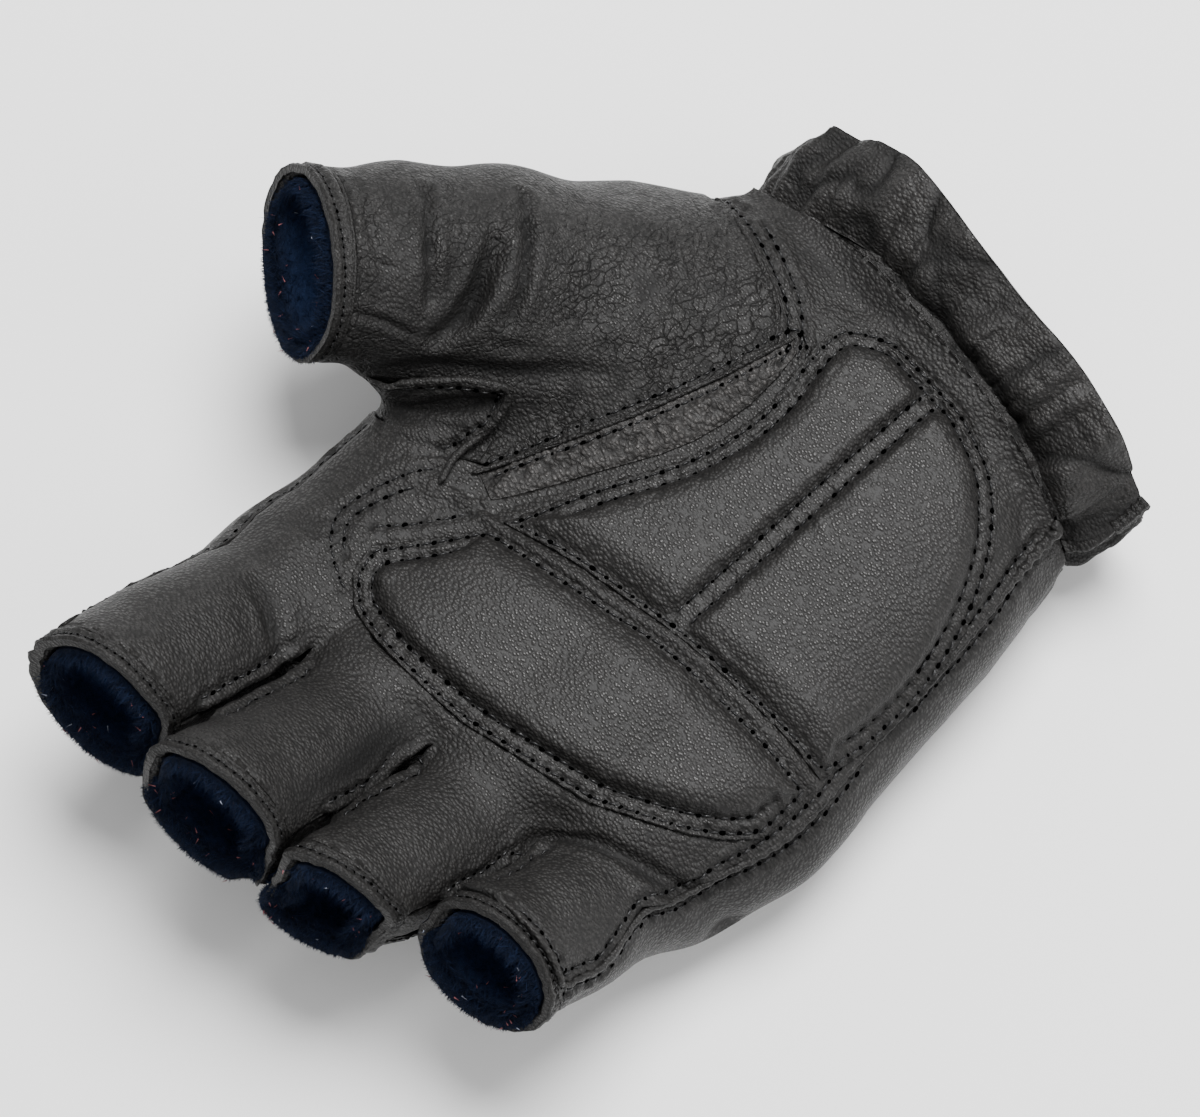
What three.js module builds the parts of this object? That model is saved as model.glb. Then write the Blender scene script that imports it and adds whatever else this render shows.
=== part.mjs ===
// A fingerless leather glove for the right hand, lying on its back with the palm up.
// Every leather wall is a sheet of true thickness, cut out of one smooth hand-shaped skin.
// Millimetres. +Y runs from the cuff to the fingers, +X towards the thumb, +Z out of the palm.
import * as THREE from 'three';

// Leather, lining and padding.
const WALL = 1.2;              // thickness of the glove leather
const PATCH_WALL = 1.2;        // thickness of the overlaid patches
const HEM_WALL = 1.9;          // the edges of the openings are turned double
const HEM_WIDTH = 4.2;
const CUFF_WALL = 1.9;         // the cuff is turned double too
const PILE = 1.5;              // depth of the brushed lining
const LINING_DEPTH = 2.5;      // how far under the skin the lining starts
const LINING_REACH = 0.9;      // how far in the lining stops short of the mouth, in millimetres
const PATCH_LIFT = 0.75;       // clearance of a patch over the leather that it is sewn to
const SEAM_GAP = 0.5;          // clearance between two panels along a seam
const GUSSET_GAP = 1.5;        // the same round a gusset, which turns sharply at the web
const PAD_RISE = 2.4;          // height of a padded cell above its stitched margin
const PAD_MARGIN = 4.0;        // width of the slope round a padded cell
const PAD_FLAT = 1.6;          // stitched flat edge outside that slope

// How the forms of the hand blend into each other.
const FINGER_BLEND = 9;
const THUMB_BLEND = 13;
const BETWEEN_FINGERS_BLEND = 1.2;
const FLOOR_BLEND = 0.8;
const JOINT_BLEND = 6;
const KNUCKLE_END = { y: 42.5, slope: 0.3, blend: 10 };   // where the body of the hand ends
const FOOTPRINT_CENTRE = { x: 23.77, y: 5.21 };   // of the glove as it lies, and the origin of the part
const FLOOR_DIP = -1.5;        // the skin would reach this far under the floor, and is flattened there
const FLAT_WITHIN = 0.03;      // anything this near the floor lies on it

// How the skin is found along a ray, and from a place near it.
const RAY_LENGTH = 120;
const RAY_STEP = { least: 0.4, share: 0.7 };   // each step is this share of the distance left
const RAY_HALVINGS = 24;
const SETTLE_STEPS = 12;
const SETTLE_SHARE = 0.9;
const SLOPE_STEP = 0.3;        // reach of the differences that give the skin's slope
const OUTLINE_FROM = { thumbSide: 38, outer: -28 };   // rays start inside the index and little finger

// Sections of the hand: y, centre and half width across, its top, and squareness.
const HAND = [
  { y: -96, xc: 6.0, a: 43.5, top: 50.0, p: 2.2 },
  { y: -80, xc: 6.5, a: 44.0, top: 45.4, p: 2.2 },
  { y: -72, xc: 7.0, a: 45.0, top: 41.4, p: 2.2 },
  { y: -66, xc: 6.0, a: 43.2, top: 37.3, p: 2.3 },
  { y: -61, xc: 5.5, a: 42.0, top: 34.6, p: 2.4 },
  { y: -54, xc: 4.5, a: 42.5, top: 35.0, p: 2.5 },
  { y: -40, xc: 2.0, a: 43.5, top: 35.5, p: 2.5 },
  { y: -18, xc: 0.5, a: 46.0, top: 34.7, p: 2.5 },
  { y: 5, xc: 0.0, a: 47.2, top: 34.7, p: 2.5 },
  { y: 25, xc: 1.4, a: 45.6, top: 34.3, p: 2.5 },
  { y: 42, xc: 4.0, a: 42.0, top: 33.5, p: 2.4 },
  { y: 60, xc: 4.0, a: 41.0, top: 32.5, p: 2.3 },
].map((s) => ({ ...s, zc: (s.top + FLOOR_DIP) / 2, b: (s.top - FLOOR_DIP) / 2 }));

// Stations along each sleeve, from inside the hand to its mouth: centre, half width and half height.
const SLEEVES = {
  index: [
    { x: 43.0, y: 17, z: 19.0, a: 14.2, b: 12.5 },
    { x: 43.0, y: 42, z: 19.5, a: 13.8, b: 12.6 },
    { x: 39.6, y: 84.7, z: 44.4, a: 13.6, b: 12.4 },
  ],
  middle: [
    { x: 12.0, y: 10, z: 18.0, a: 12.0, b: 12.5 },
    { x: 15.2, y: 44, z: 19.5, a: 13.4, b: 12.6 },
    { x: 13.1, y: 82.4, z: 48.1, a: 13.5, b: 12.3 },
  ],
  ring: [
    { x: -10.0, y: 5, z: 18.0, a: 12.0, b: 12.5 },
    { x: -9.6, y: 39, z: 19.0, a: 12.8, b: 12.2 },
    { x: -9.2, y: 76.6, z: 42.4, a: 11.5, b: 11.2 },
  ],
  little: [
    { x: -30.0, y: 0, z: 18.0, a: 11.5, b: 12.0 },
    { x: -32.4, y: 28, z: 18.5, a: 11.8, b: 11.8 },
    { x: -33.0, y: 62, z: 41.0, a: 11.6, b: 11.4 },
  ],
  thumb: [
    { x: 34.0, y: -44, z: 20.5, a: 17.0, b: 15.5 },
    { x: 47.5, y: -30, z: 23.5, a: 22.0, b: 17.5 },
    { x: 61.5, y: -15, z: 32.0, a: 19.5, b: 16.5 },
    { x: 71.5, y: -2.5, z: 40.0, a: 16.8, b: 14.0 },
    { x: 80.2, y: 12.2, z: 48.0, a: 15.4, b: 12.4 },
  ],
};
const FINGERS = ['index', 'middle', 'ring', 'little'];
const PAST_MOUTH = 1.6;          // a sleeve's last link is carried on, to this many times its length

// The plane each mouth is cut along, as its outward normal.
const MOUTH_NORMAL = {
  index: new THREE.Vector3(-0.36, 0.82, 0.43).normalize(),
  middle: new THREE.Vector3(-0.34, 0.82, 0.44).normalize(),
  ring: new THREE.Vector3(-0.38, 0.79, 0.46).normalize(),
  little: new THREE.Vector3(-0.28, 0.78, 0.56).normalize(),
  thumb: new THREE.Vector3(0.40, 0.76, 0.52).normalize(),
};
// The plane of the first free ring of each sleeve, in the same way.
const FINGER_RING_NORMAL = new THREE.Vector3(0, 1, 0.2).normalize();
const THUMB_RING_NORMAL = new THREE.Vector3(0.62, 0.62, 0.46).normalize();
const THUMB_RING_FROM = -0.12;   // that ring of the thumb lies this share before its last joint

// Where two fingers part, from the thumb side to the outer side.
const WEBS = [
  { x: 28.8, y: 54.5, lean: -0.085 },
  { x: 3.4, y: 49, lean: -0.12 },
  { x: -22.0, y: 43.5, lean: 0.065 },
];                               // lean is the drift in x along the fingers
const FINGER_GAP = 1.6;          // the fingers lie this close together
const GAP_ROUND = 1.2;
const WEB_DEPTH = 4.5;           // how far behind the web the panels part
const KNUCKLE_ROW_ENDS = { thumbSide: 50, outer: 34 };    // y of that row at the two side seams
const KNUCKLE_BOW = 2.0;         // forward bow of the row over each finger

// The large creases in the palm side: from, to, depth and width.
const FOLDS = [
  { x0: -19, y0: 38, x1: -46, y1: 22, depth: 2.2, width: 3.4 },   // under the little finger
  { x0: 50, y0: 46, x1: 32, y1: 54, depth: 1.3, width: 3.6 },     // under the index finger
  { x0: 64, y0: -23, x1: 54, y1: -8, depth: 1.0, width: 3.0 },    // across the thumb
  { x0: 60, y0: -12, x1: 57, y1: 1, depth: 1.8, width: 3.8 },     // dimple at the thumb joint
];
const FOLD_ENDS = 0.15;          // share of a fold's length over which it fades at each end

// Where the thumb sleeve is set in: y of each row, x of the hole's edge on the palm side, and on
// the back its x, or its turn in degrees round the side of the hand while it is still there.
const THUMB_HOLE = [
  { y: -54.0, palm: 42.0, turn: 15 },
  { y: -52.0, palm: 35.0, turn: -25 },
  { y: -49.0, palm: 26.0, turn: -55 },
  { y: -43.0, palm: 20.2, back: 38.0 },
  { y: -35.0, palm: 19.2, back: 35.0 },
  { y: -26.0, palm: 21.4, back: 34.5 },
  { y: -17.0, palm: 24.4, back: 35.5 },
  { y: -8.0, palm: 27.8, back: 38.0 },
  { y: 0.0, palm: 31.4, back: 41.5 },
  { y: 5.5, palm: 35.6, turn: -50 },
  { y: 9.5, palm: 41.0, turn: -20 },
  { y: 12.0, palm: 46.0, turn: 10 },
];
const THUMB_HOLE_FROM = -55.5;
const THUMB_START_ANGLE = -20;   // where round the thumb the first corner of the hole comes
const THUMB_BASE_ROWS = 5;
const THUMB_RINGS = 3;
const WEB_ROW = 14.0;            // the first row past the thumb hole

// The sewn side seams lie on the palm side, this far in from the outline.
const SEAM_INSET = { thumbSide: 3.0, outer: 5.0 };
const SIDE_CENTRE = 13;          // how far in from the outline the side of the hand turns about
const WRAP_STEPS = 4;
const WRAP_IN = 7;               // how far in from the outline the underside starts
const ROWS_NEAR_CUFF = [{ y: -67.3, bow: 1 }, { y: -62.5, bow: 0.7 }, { y: -58.8, bow: 0.3 }];
const ELASTIC_BOW = 4.2;         // the elastic line is bowed back this far between its ends
const ELASTIC_HALF_WIDTH = 40;
const WRIST_MIDDLE = 6.5;
const ROWS_TO_KNUCKLES = [0.27, 0.52, 0.76, 1];
const COLUMNS_PER_FINGER = 6;
const SLEEVE_ROWS = 4;
const SEAM_ANGLE = 25;           // degrees from a sleeve's side, where a gusset between fingers starts
const OUTER_SEAM_ANGLE = 28;     // the same for the outer side seams
const GUSSET_STEPS = 3;
const WEB_START = 15;            // how far behind the web its fold is looked for
const WEB_NOTCH = 1.4;           // how much deeper the panels are notched at the web
const SHARPEST_CORNER = 0.6;     // holds back how far a sharp corner is drawn in
const MOUTH_COLUMNS = 18;        // facets round a hem or a lining
const LINING_ROWS = 2;
const WEB_CLEAR = 3;             // a sleeve's first ring lies this far past the web

// The gathered cuff, and its ruffles as waves round it.
const CUFF = {
  mouth: -81.6, bow: 0.0016, rows: 4, columns: 60, halfWidth: 44,
  ruffleAtElastic: 0.6,          // how much of the ruffle is left at the elastic line
  steadyBelow: 12,               // under this height the ruffles die out towards the floor
};
const RUFFLES = [
  { folds: 13, phase: 0.4, depth: 0.75 },
  { folds: 21, phase: 1.9, depth: 0.4 },
  { folds: 7, phase: 2.6, depth: 0.5 },
];

// The palm patches, as x, y along their two long sides.
const PADS = {
  front_palm_pad: {
    sideA: [[26.5, 13.0], [17, 10.4], [5, 6.8], [-8, 2.9], [-26, 0.3], [-40.2, -0.6]],
    sideB: [
      [36.8, 30.5], [33.6, 37.6], [21, 40.3], [4, 37.6], [-12, 32.8], [-26, 26.6], [-36.8, 18.2], [-41, 10.5],
    ],
    columns: 16, rows: 6,
  },
  rear_palm_pad: {
    sideA: [
      [25.6, 10.6], [20.9, -5.5], [15.2, -21], [13.8, -36.5], [16.8, -47.5], [17.5, -55.5], [9.5, -62.0],
    ],
    sideB: [
      [-39.8, -3.2], [-40.4, -14], [-38.6, -28], [-33.4, -42.5], [-26, -53.2], [-17.5, -59.6], [-7, -62.8],
    ],
    columns: 15, rows: 9, bow: -2.8, hasChannel: true,
  },
};
// The groove sewn across the rear pad. Depth is a share of the pad's rise.
const PAD_CHANNEL = { from: [-2.0, -62.0], to: [-6.6, 1.0], width: 2.6, depth: 0.85 };

// The pebbled patch between the thumb seam and the rear pad.
const CRESCENT = {
  sideA: [[20.6, -47.6], [22.2, -36], [25.6, -22], [29.4, -10], [33.2, 1.5], [35.4, 8.5]],
  sideB: [[18.4, -46.4], [16.2, -36], [17.4, -22], [22.8, -8], [27.2, 3], [30.6, 9.6]],
  columns: 10, rows: 2,
};

// The web patch between thumb and index finger: places along its raised seam and its other edge.
const WEB = {
  sideA: [[43.2, -5.0, 39], [48.4, 0.6, 41], [53.6, 7, 40], [58.6, 11.6, 37]],
  sideB: [[40.6, 0.5, 35], [40.6, 8, 34], [44, 14.5, 33], [50, 18, 29]],
  columns: 7, rows: 3,
};

// The bound corner of the cuff: a round cord of leather, turned this far up from the outline.
const BINDING = { y0: -70.3, y1: -78.6, turn: 34, radius: 1.3, steps: 5, sides: 8, lift: 1.75 };

const radians = (degrees) => degrees * Math.PI / 180;
const clamp01 = (t) => Math.min(1, Math.max(0, t));
const mix = (a, b, t) => a + (b - a) * t;
const V = (x, y, z) => new THREE.Vector3(x, y, z);
const range = (n) => Array.from({ length: n }, (_, i) => i);

function smoothMin(a, b, k) {
  const h = clamp01(0.5 + 0.5 * (b - a) / k);
  return mix(b, a, h) - k * h * (1 - h);
}
const smoothMax = (a, b, k) => -smoothMin(-a, -b, k);

// A smooth curve through one column of a table of sections.
function tableValue(table, name, y) {
  let i = 0;
  while (i < table.length - 2 && y > table[i + 1].y) i += 1;
  const slope = (j) => {
    const lo = table[Math.max(0, j - 1)];
    const hi = table[Math.min(table.length - 1, j + 1)];
    return (hi[name] - lo[name]) / (hi.y - lo.y);
  };
  const h = table[i + 1].y - table[i].y;
  const t = clamp01((y - table[i].y) / h);
  const t2 = t * t;
  const t3 = t2 * t;
  return (2 * t3 - 3 * t2 + 1) * table[i][name] + (t3 - 2 * t2 + t) * slope(i) * h
    + (3 * t2 - 2 * t3) * table[i + 1][name] + (t3 - t2) * slope(i + 1) * h;
}

function handBody(p) {
  const [xc, a, zc, b, e] = ['xc', 'a', 'zc', 'b', 'p'].map((name) => tableValue(HAND, name, p.y));
  const f = (Math.abs((p.x - xc) / a) ** e + Math.abs((p.z - zc) / b) ** e) ** (1 / e);
  const end = p.y - (KNUCKLE_END.y + KNUCKLE_END.slope * p.x);
  return smoothMax((f - 1) * Math.min(a, b), end, KNUCKLE_END.blend);
}

// Each sleeve is a chain of elliptical links, carried on past its mouth so that the mouth is open.
const LINKS = Object.fromEntries(Object.entries(SLEEVES).map(([name, stations]) => {
  const last = stations[stations.length - 1];
  const before = stations[stations.length - 2];
  const past = { ...last };
  for (const way of ['x', 'y', 'z']) past[way] = mix(before[way], last[way], PAST_MOUTH);
  const chain = [...stations, past];
  return [name, chain.slice(1).map((to, i) => {
    const from = chain[i];
    const start = V(from.x, from.y, from.z);
    const axis = V(to.x, to.y, to.z).sub(start);
    const length = axis.length();
    axis.normalize();
    const side = new THREE.Vector3().crossVectors(axis, V(0, 0, 1)).normalize();
    const up = new THREE.Vector3().crossVectors(side, axis);
    return { from, to, start, axis, length, side, up };
  })];
}));

function sleeve(name, p) {
  let d = null;
  for (const link of LINKS[name]) {
    const q = p.clone().sub(link.start);
    const h = clamp01(q.dot(link.axis) / link.length);
    const a = mix(link.from.a, link.to.a, h);
    const b = mix(link.from.b, link.to.b, h);
    q.addScaledVector(link.axis, -h * link.length);
    const small = Math.min(a, b);
    const f = Math.hypot(q.dot(link.side) / a, q.dot(link.up) / b, q.dot(link.axis) / small);
    const distance = (f - 1) * small;
    d = d === null ? distance : smoothMin(d, distance, JOINT_BLEND);
  }
  return d;
}

// How far the large creases draw the palm side in.
function foldDepth(p) {
  if (p.z < tableValue(HAND, 'zc', p.y)) return 0;
  let depth = 0;
  for (const fold of FOLDS) {
    const along = V(fold.x1 - fold.x0, fold.y1 - fold.y0, 0);
    const q = V(p.x - fold.x0, p.y - fold.y0, 0);
    const t = q.dot(along) / along.lengthSq();
    const away = q.addScaledVector(along, -clamp01(t)).length();
    const fade = Math.sin(Math.PI * mix(FOLD_ENDS, 1 - FOLD_ENDS, clamp01(t)));
    depth += fold.depth * fade * Math.exp(-((away / fold.width) ** 2));
  }
  return depth;
}

// Signed distance to the outside of the glove, negative inside.
function skin(p) {
  let fingers = sleeve('index', p);
  for (const name of FINGERS.slice(1)) fingers = smoothMin(fingers, sleeve(name, p), BETWEEN_FINGERS_BLEND);
  let d = smoothMin(handBody(p), fingers, FINGER_BLEND);
  d = smoothMin(d, sleeve('thumb', p), THUMB_BLEND);
  for (const web of WEBS) {
    const middle = web.x + web.lean * Math.max(0, p.y - web.y);
    const gap = Math.max(Math.abs(p.x - middle) - FINGER_GAP / 2, web.y - p.y);
    d = smoothMax(d, -gap, GAP_ROUND);
  }
  return smoothMax(d + foldDepth(p), -p.z, FLOOR_BLEND);
}

function normalAt(p) {
  const e = SLOPE_STEP;
  const slope = (dx, dy, dz) => skin(V(p.x + dx, p.y + dy, p.z + dz)) - skin(V(p.x - dx, p.y - dy, p.z - dz));
  return V(slope(e, 0, 0), slope(0, e, 0), slope(0, 0, e)).normalize();
}

// The first place where a ray from inside leaves the skin.
function leave(origin, direction) {
  const at = (t) => origin.clone().addScaledVector(direction, t);
  let t = 0;
  let step = 1;
  while (skin(at(t)) < 0 && t < RAY_LENGTH) {
    step = Math.max(RAY_STEP.least, -skin(at(t)) * RAY_STEP.share);
    t += step;
  }
  let lo = t - step;
  let hi = t;
  for (let i = 0; i < RAY_HALVINGS; i += 1) {
    const middle = (lo + hi) / 2;
    if (skin(at(middle)) < 0) lo = middle;
    else hi = middle;
  }
  return at(lo);
}

// The nearest place on the skin, found by walking down its slope.
function settle(p) {
  const q = p.clone();
  for (let i = 0; i < SETTLE_STEPS; i += 1) q.addScaledVector(normalAt(q), -skin(q) * SETTLE_SHARE);
  return q;
}

const midHeight = (y) => tableValue(HAND, 'zc', y);
const above = (x, y) => leave(V(x, y, midHeight(y)), V(0, 0, 1));
const below = (x, y) => leave(V(x, y, midHeight(y)), V(0, 0, -1));
const outline = (y, side) => (
  leave(V(side > 0 ? OUTLINE_FROM.thumbSide : OUTLINE_FROM.outer, y, midHeight(y)), V(side, 0, 0)));

// A smooth curve through places given as x, y or x, y, z.
const curveOf = (places) => new THREE.CatmullRomCurve3(places.map(([x, y, z]) => V(x, y, z ?? 0)));

// A mesh in the making: points on the skin with their outward normals, and faces between them.
class Sheet {
  constructor() {
    this.points = [];
    this.normals = [];
    this.faces = [];
  }

  add(point) {
    this.points.push(point.clone());
    this.normals.push(normalAt(point));
    return this.points.length - 1;
  }

  // Joins rows of point numbers with faces. Around closes each row on itself.
  join(rows, around = false) {
    for (let r = 0; r + 1 < rows.length; r += 1) {
      const count = rows[r].length;
      for (let c = 0; c + (around ? 0 : 1) < count; c += 1) {
        const next = (c + 1) % count;
        this.faces.push([rows[r][c], rows[r][next], rows[r + 1][next], rows[r + 1][c]]);
      }
    }
  }

  // The edges that only one face has.
  edges() {
    const open = new Map();
    for (const face of this.faces) {
      face.forEach((from, i) => {
        const to = face[(i + 1) % face.length];
        if (open.has(`${to},${from}`)) open.delete(`${to},${from}`);
        else open.set(`${from},${to}`, [from, to]);
      });
    }
    return [...open.values()];
  }

  // Draws the free edges in by half a seam's clearance.
  trim(gap = SEAM_GAP) {
    const inward = new Map();
    for (const [from, to] of this.edges()) {
      const face = this.faces.find((f) => f.includes(from) && f.includes(to));
      const centre = V(0, 0, 0);
      face.forEach((i) => centre.addScaledVector(this.points[i], 1 / face.length));
      const along = this.points[to].clone().sub(this.points[from]).normalize();
      const across = centre.sub(this.points[from]);
      across.addScaledVector(along, -across.dot(along)).normalize();
      for (const i of [from, to]) {
        if (!inward.has(i)) inward.set(i, V(0, 0, 0));
        inward.get(i).add(across);
      }
    }
    for (const [i, direction] of inward) {
      const spread = Math.max(SHARPEST_CORNER, direction.lengthSq() / 2);
      this.points[i].addScaledVector(direction, gap / 2 / spread);
    }
    return this;
  }

  // Moves a point towards another one.
  pull(point, towards, distance) {
    const step = this.points[towards].clone().sub(this.points[point]).normalize();
    this.points[point].addScaledVector(step, distance);
  }

  // Turns every face to look away from the skin.
  lookOut() {
    let sum = 0;
    for (const [a, b, c] of this.faces) {
      const u = this.points[b].clone().sub(this.points[a]);
      const v = this.points[c].clone().sub(this.points[a]);
      sum += u.cross(v).dot(this.normals[a]);
    }
    if (sum < 0) this.faces.forEach((face) => face.reverse());
  }

  // A solid: top and bottom give how far each side lies above the skin.
  solid(top, bottom) {
    this.lookOut();
    const count = this.points.length;
    const lifted = (height) => this.points.map((p, i) => {
      const q = p.clone().addScaledVector(this.normals[i], height(p, i));
      if (q.z < FLAT_WITHIN) q.z = 0;
      return q;
    });
    const all = [...lifted(top), ...lifted(bottom)];
    const index = [];
    const quad = (a, b, c, d) => {
      // the shorter diagonal keeps the facets even
      if (all[a].distanceTo(all[c]) <= all[b].distanceTo(all[d])) index.push(a, b, c, a, c, d);
      else index.push(a, b, d, b, c, d);
    };
    for (const [a, b, c, d] of this.faces) {
      quad(a, b, c, d);
      quad(d + count, c + count, b + count, a + count);
    }
    for (const [from, to] of this.edges()) quad(to, from, from + count, to + count);
    const geometry = new THREE.BufferGeometry();
    const numbers = all.flatMap((p) => [p.x, p.y, p.z]);
    geometry.setAttribute('position', new THREE.Float32BufferAttribute(numbers, 3));
    geometry.setIndex(index);
    geometry.computeVertexNormals();
    return geometry;
  }

  wall(thickness, lift = 0) {
    return this.solid(() => lift, () => lift - thickness);
  }
}

// Rows of the hand, from the cuff to the knuckles. Between the two ends of the thumb hole a row
// stops at the hole's edge.
const HAND_ROWS = [
  ...ROWS_NEAR_CUFF,
  { y: THUMB_HOLE_FROM },
  ...THUMB_HOLE,
  { y: WEB_ROW },
  ...ROWS_TO_KNUCKLES.map((share) => ({ y: WEB_ROW, share })),
];
const HAND_COLUMNS = FINGERS.length * COLUMNS_PER_FINGER;

// Values at the seams and webs, spread evenly over the columns of each finger.
function perColumn(stops, column) {
  const finger = Math.min(FINGERS.length - 1, Math.floor(column / COLUMNS_PER_FINGER));
  return { value: (t) => mix(stops[finger], stops[finger + 1], t), t: column / COLUMNS_PER_FINGER - finger };
}
function knuckleY(column) {
  const stops = [KNUCKLE_ROW_ENDS.thumbSide, ...WEBS.map((web) => web.y - WEB_DEPTH), KNUCKLE_ROW_ENDS.outer];
  const { value, t } = perColumn(stops, column);
  return value(t) + KNUCKLE_BOW * Math.sin(Math.PI * t);
}
// Each column's share of the way across, so that the columns between fingers end at the webs.
function sharesAcross(from, to) {
  return range(HAND_COLUMNS + 1).map((column) => {
    const { value, t } = perColumn([from, ...WEBS.map((web) => web.x), to], column);
    return (value(t) - from) / (to - from);
  });
}
// The elastic line runs back from both sides to the middle of the wrist.
const elasticBow = (x) => ELASTIC_BOW * Math.min(1, ((x - WRIST_MIDDLE) / ELASTIC_HALF_WIDTH) ** 2);
function rowY(row, column, x = Infinity) {
  if (row.share) return mix(row.y, knuckleY(column), row.share);
  return row.y + (row.bow ? row.bow * elasticBow(x) : 0);
}

// The angle about the centre of a rounded side, 0 at the outline and 90 on top.
function sideTurn(y, side) {
  const edge = outline(y, side);
  const centre = V(edge.x - side * SIDE_CENTRE, y, midHeight(y));
  return {
    at: (angle) => leave(centre, V(side * Math.cos(radians(angle)), 0, Math.sin(radians(angle)))),
    of: (p) => Math.atan2(p.z - centre.z, side * (p.x - centre.x)) * 180 / Math.PI,
  };
}
function sideSeam(y, side) {
  const inset = side > 0 ? SEAM_INSET.thumbSide : SEAM_INSET.outer;
  return above(outline(y, side).x - side * inset, y);
}

const PALM_ACROSS = sharesAcross(
  sideSeam(KNUCKLE_ROW_ENDS.thumbSide, 1).x,
  sideSeam(KNUCKLE_ROW_ENDS.outer, -1).x,
);
const BACK_ACROSS = sharesAcross(
  outline(KNUCKLE_ROW_ENDS.thumbSide, 1).x - WRAP_IN,
  outline(KNUCKLE_ROW_ENDS.outer, -1).x + WRAP_IN,
);

// Each finger's free sleeve, from just past the web to the mouth.
function sleeveFrame(name, share) {
  const stations = SLEEVES[name];
  const mouth = stations[stations.length - 1];
  const base = stations[stations.length - 2];
  const i = FINGERS.indexOf(name);
  const webs = [WEBS[i - 1], WEBS[i]].filter(Boolean).map((web) => web.y);
  const t = mix((Math.max(...webs) + WEB_CLEAR - base.y) / (mouth.y - base.y), 1, share);
  const centre = V(mix(base.x, mouth.x, t), mix(base.y, mouth.y, t), mix(base.z, mouth.z, t));
  const normal = FINGER_RING_NORMAL.clone().lerp(MOUTH_NORMAL[name], share).normalize();
  const side = V(1, 0, 0).addScaledVector(normal, -normal.x).normalize();
  return { centre, side, up: new THREE.Vector3().crossVectors(side, normal) };
}
function thumbFrame(share) {
  const stations = SLEEVES.thumb;
  const mouth = stations[stations.length - 1];
  const middle = stations[stations.length - 2];
  const t = mix(THUMB_RING_FROM, 1, share);
  const centre = V(mix(middle.x, mouth.x, t), mix(middle.y, mouth.y, t), mix(middle.z, mouth.z, t));
  const normal = THUMB_RING_NORMAL.clone().lerp(MOUTH_NORMAL.thumb, share).normalize();
  const side = V(1, 0, 0).addScaledVector(normal, -normal.x).normalize();
  return { centre, side, up: new THREE.Vector3().crossVectors(side, normal) };
}
function ringPoint(name, share, degrees) {
  const { centre, side, up } = name === 'thumb' ? thumbFrame(share) : sleeveFrame(name, share);
  const direction = side.multiplyScalar(Math.cos(radians(degrees)));
  return leave(centre, direction.addScaledVector(up, Math.sin(radians(degrees))));
}
function sleeveLength(name) {
  const frame = name === 'thumb' ? thumbFrame : (share) => sleeveFrame(name, share);
  return frame(0).centre.distanceTo(frame(1).centre);
}
const hemShare = (name) => 1 - HEM_WIDTH / sleeveLength(name);
const sleeveShare = (name, row) => hemShare(name) * (row - 1) / (SLEEVE_ROWS - 1);

// The panels are notched a little deeper at each web, clear of the gusset's fold.
function notchAtWebs(sheet, rows, firstColumn) {
  const [before, last] = rows.slice(-2);
  WEBS.forEach((_, i) => {
    const column = firstColumn + (i + 1) * COLUMNS_PER_FINGER;
    sheet.pull(last[column], before[column], WEB_NOTCH);
  });
}

// The palm leather: the palm and the palm side of the four fingers.
function palmRow(row) {
  const from = row.palm ?? sideSeam(rowY(row, 0), 1).x;
  const to = sideSeam(rowY(row, HAND_COLUMNS), -1).x;
  return PALM_ACROSS.map((share, column) => {
    const x = mix(from, to, share);
    return above(x, rowY(row, column, x));
  });
}
function palmPanel() {
  const sheet = new Sheet();
  const rows = HAND_ROWS.map((row) => palmRow(row).map((p) => sheet.add(p)));
  sheet.join(rows);
  FINGERS.forEach((name, i) => {
    const first = i * COLUMNS_PER_FINGER;
    const start = i === 0 ? OUTER_SEAM_ANGLE : SEAM_ANGLE;
    const end = 180 - (i === FINGERS.length - 1 ? OUTER_SEAM_ANGLE : SEAM_ANGLE);
    const grid = [rows[rows.length - 1].slice(first, first + COLUMNS_PER_FINGER + 1)];
    for (let row = 1; row <= SLEEVE_ROWS; row += 1) {
      const angles = range(COLUMNS_PER_FINGER + 1).map((c) => mix(start, end, c / COLUMNS_PER_FINGER));
      grid.push(angles.map((angle) => sheet.add(ringPoint(name, sleeveShare(name, row), angle))));
    }
    sheet.join(grid);
  });
  sheet.trim();
  notchAtWebs(sheet, rows, 0);
  return sheet;
}

// One row of the back leather, from seam to seam round the underside.
function backRow(row) {
  const firstY = rowY(row, 0);
  const lastY = rowY(row, HAND_COLUMNS);
  const thumbSide = sideTurn(firstY, 1);
  const outer = sideTurn(lastY, -1);
  const edge = row.back ?? outline(firstY, 1).x - WRAP_IN;
  const from = row.back ? edge - WRAP_STEPS : edge;
  const start = row.turn ?? thumbSide.of(sideSeam(firstY, 1));
  const stop = thumbSide.of(below(edge, firstY));
  const wrapIn = range(WRAP_STEPS).map((k) => (row.back
    ? below(edge - k, firstY)
    : thumbSide.at(mix(start, stop, k / WRAP_STEPS))));
  const to = outline(lastY, -1).x + WRAP_IN;
  const under = BACK_ACROSS.map((share, column) => {
    const x = mix(from, to, share);
    return below(x, rowY(row, column, x));
  });
  const outerStop = outer.of(under[HAND_COLUMNS]);
  const outerSeam = sideSeam(lastY, -1);
  const wrapOut = range(WRAP_STEPS).map((k) => (k === WRAP_STEPS - 1
    ? outerSeam
    : outer.at(mix(outerStop, outer.of(outerSeam), (k + 1) / WRAP_STEPS))));
  if (!row.back && row.turn === undefined) wrapIn[0] = sideSeam(firstY, 1);
  return [...wrapIn, ...under, ...wrapOut];
}

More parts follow.
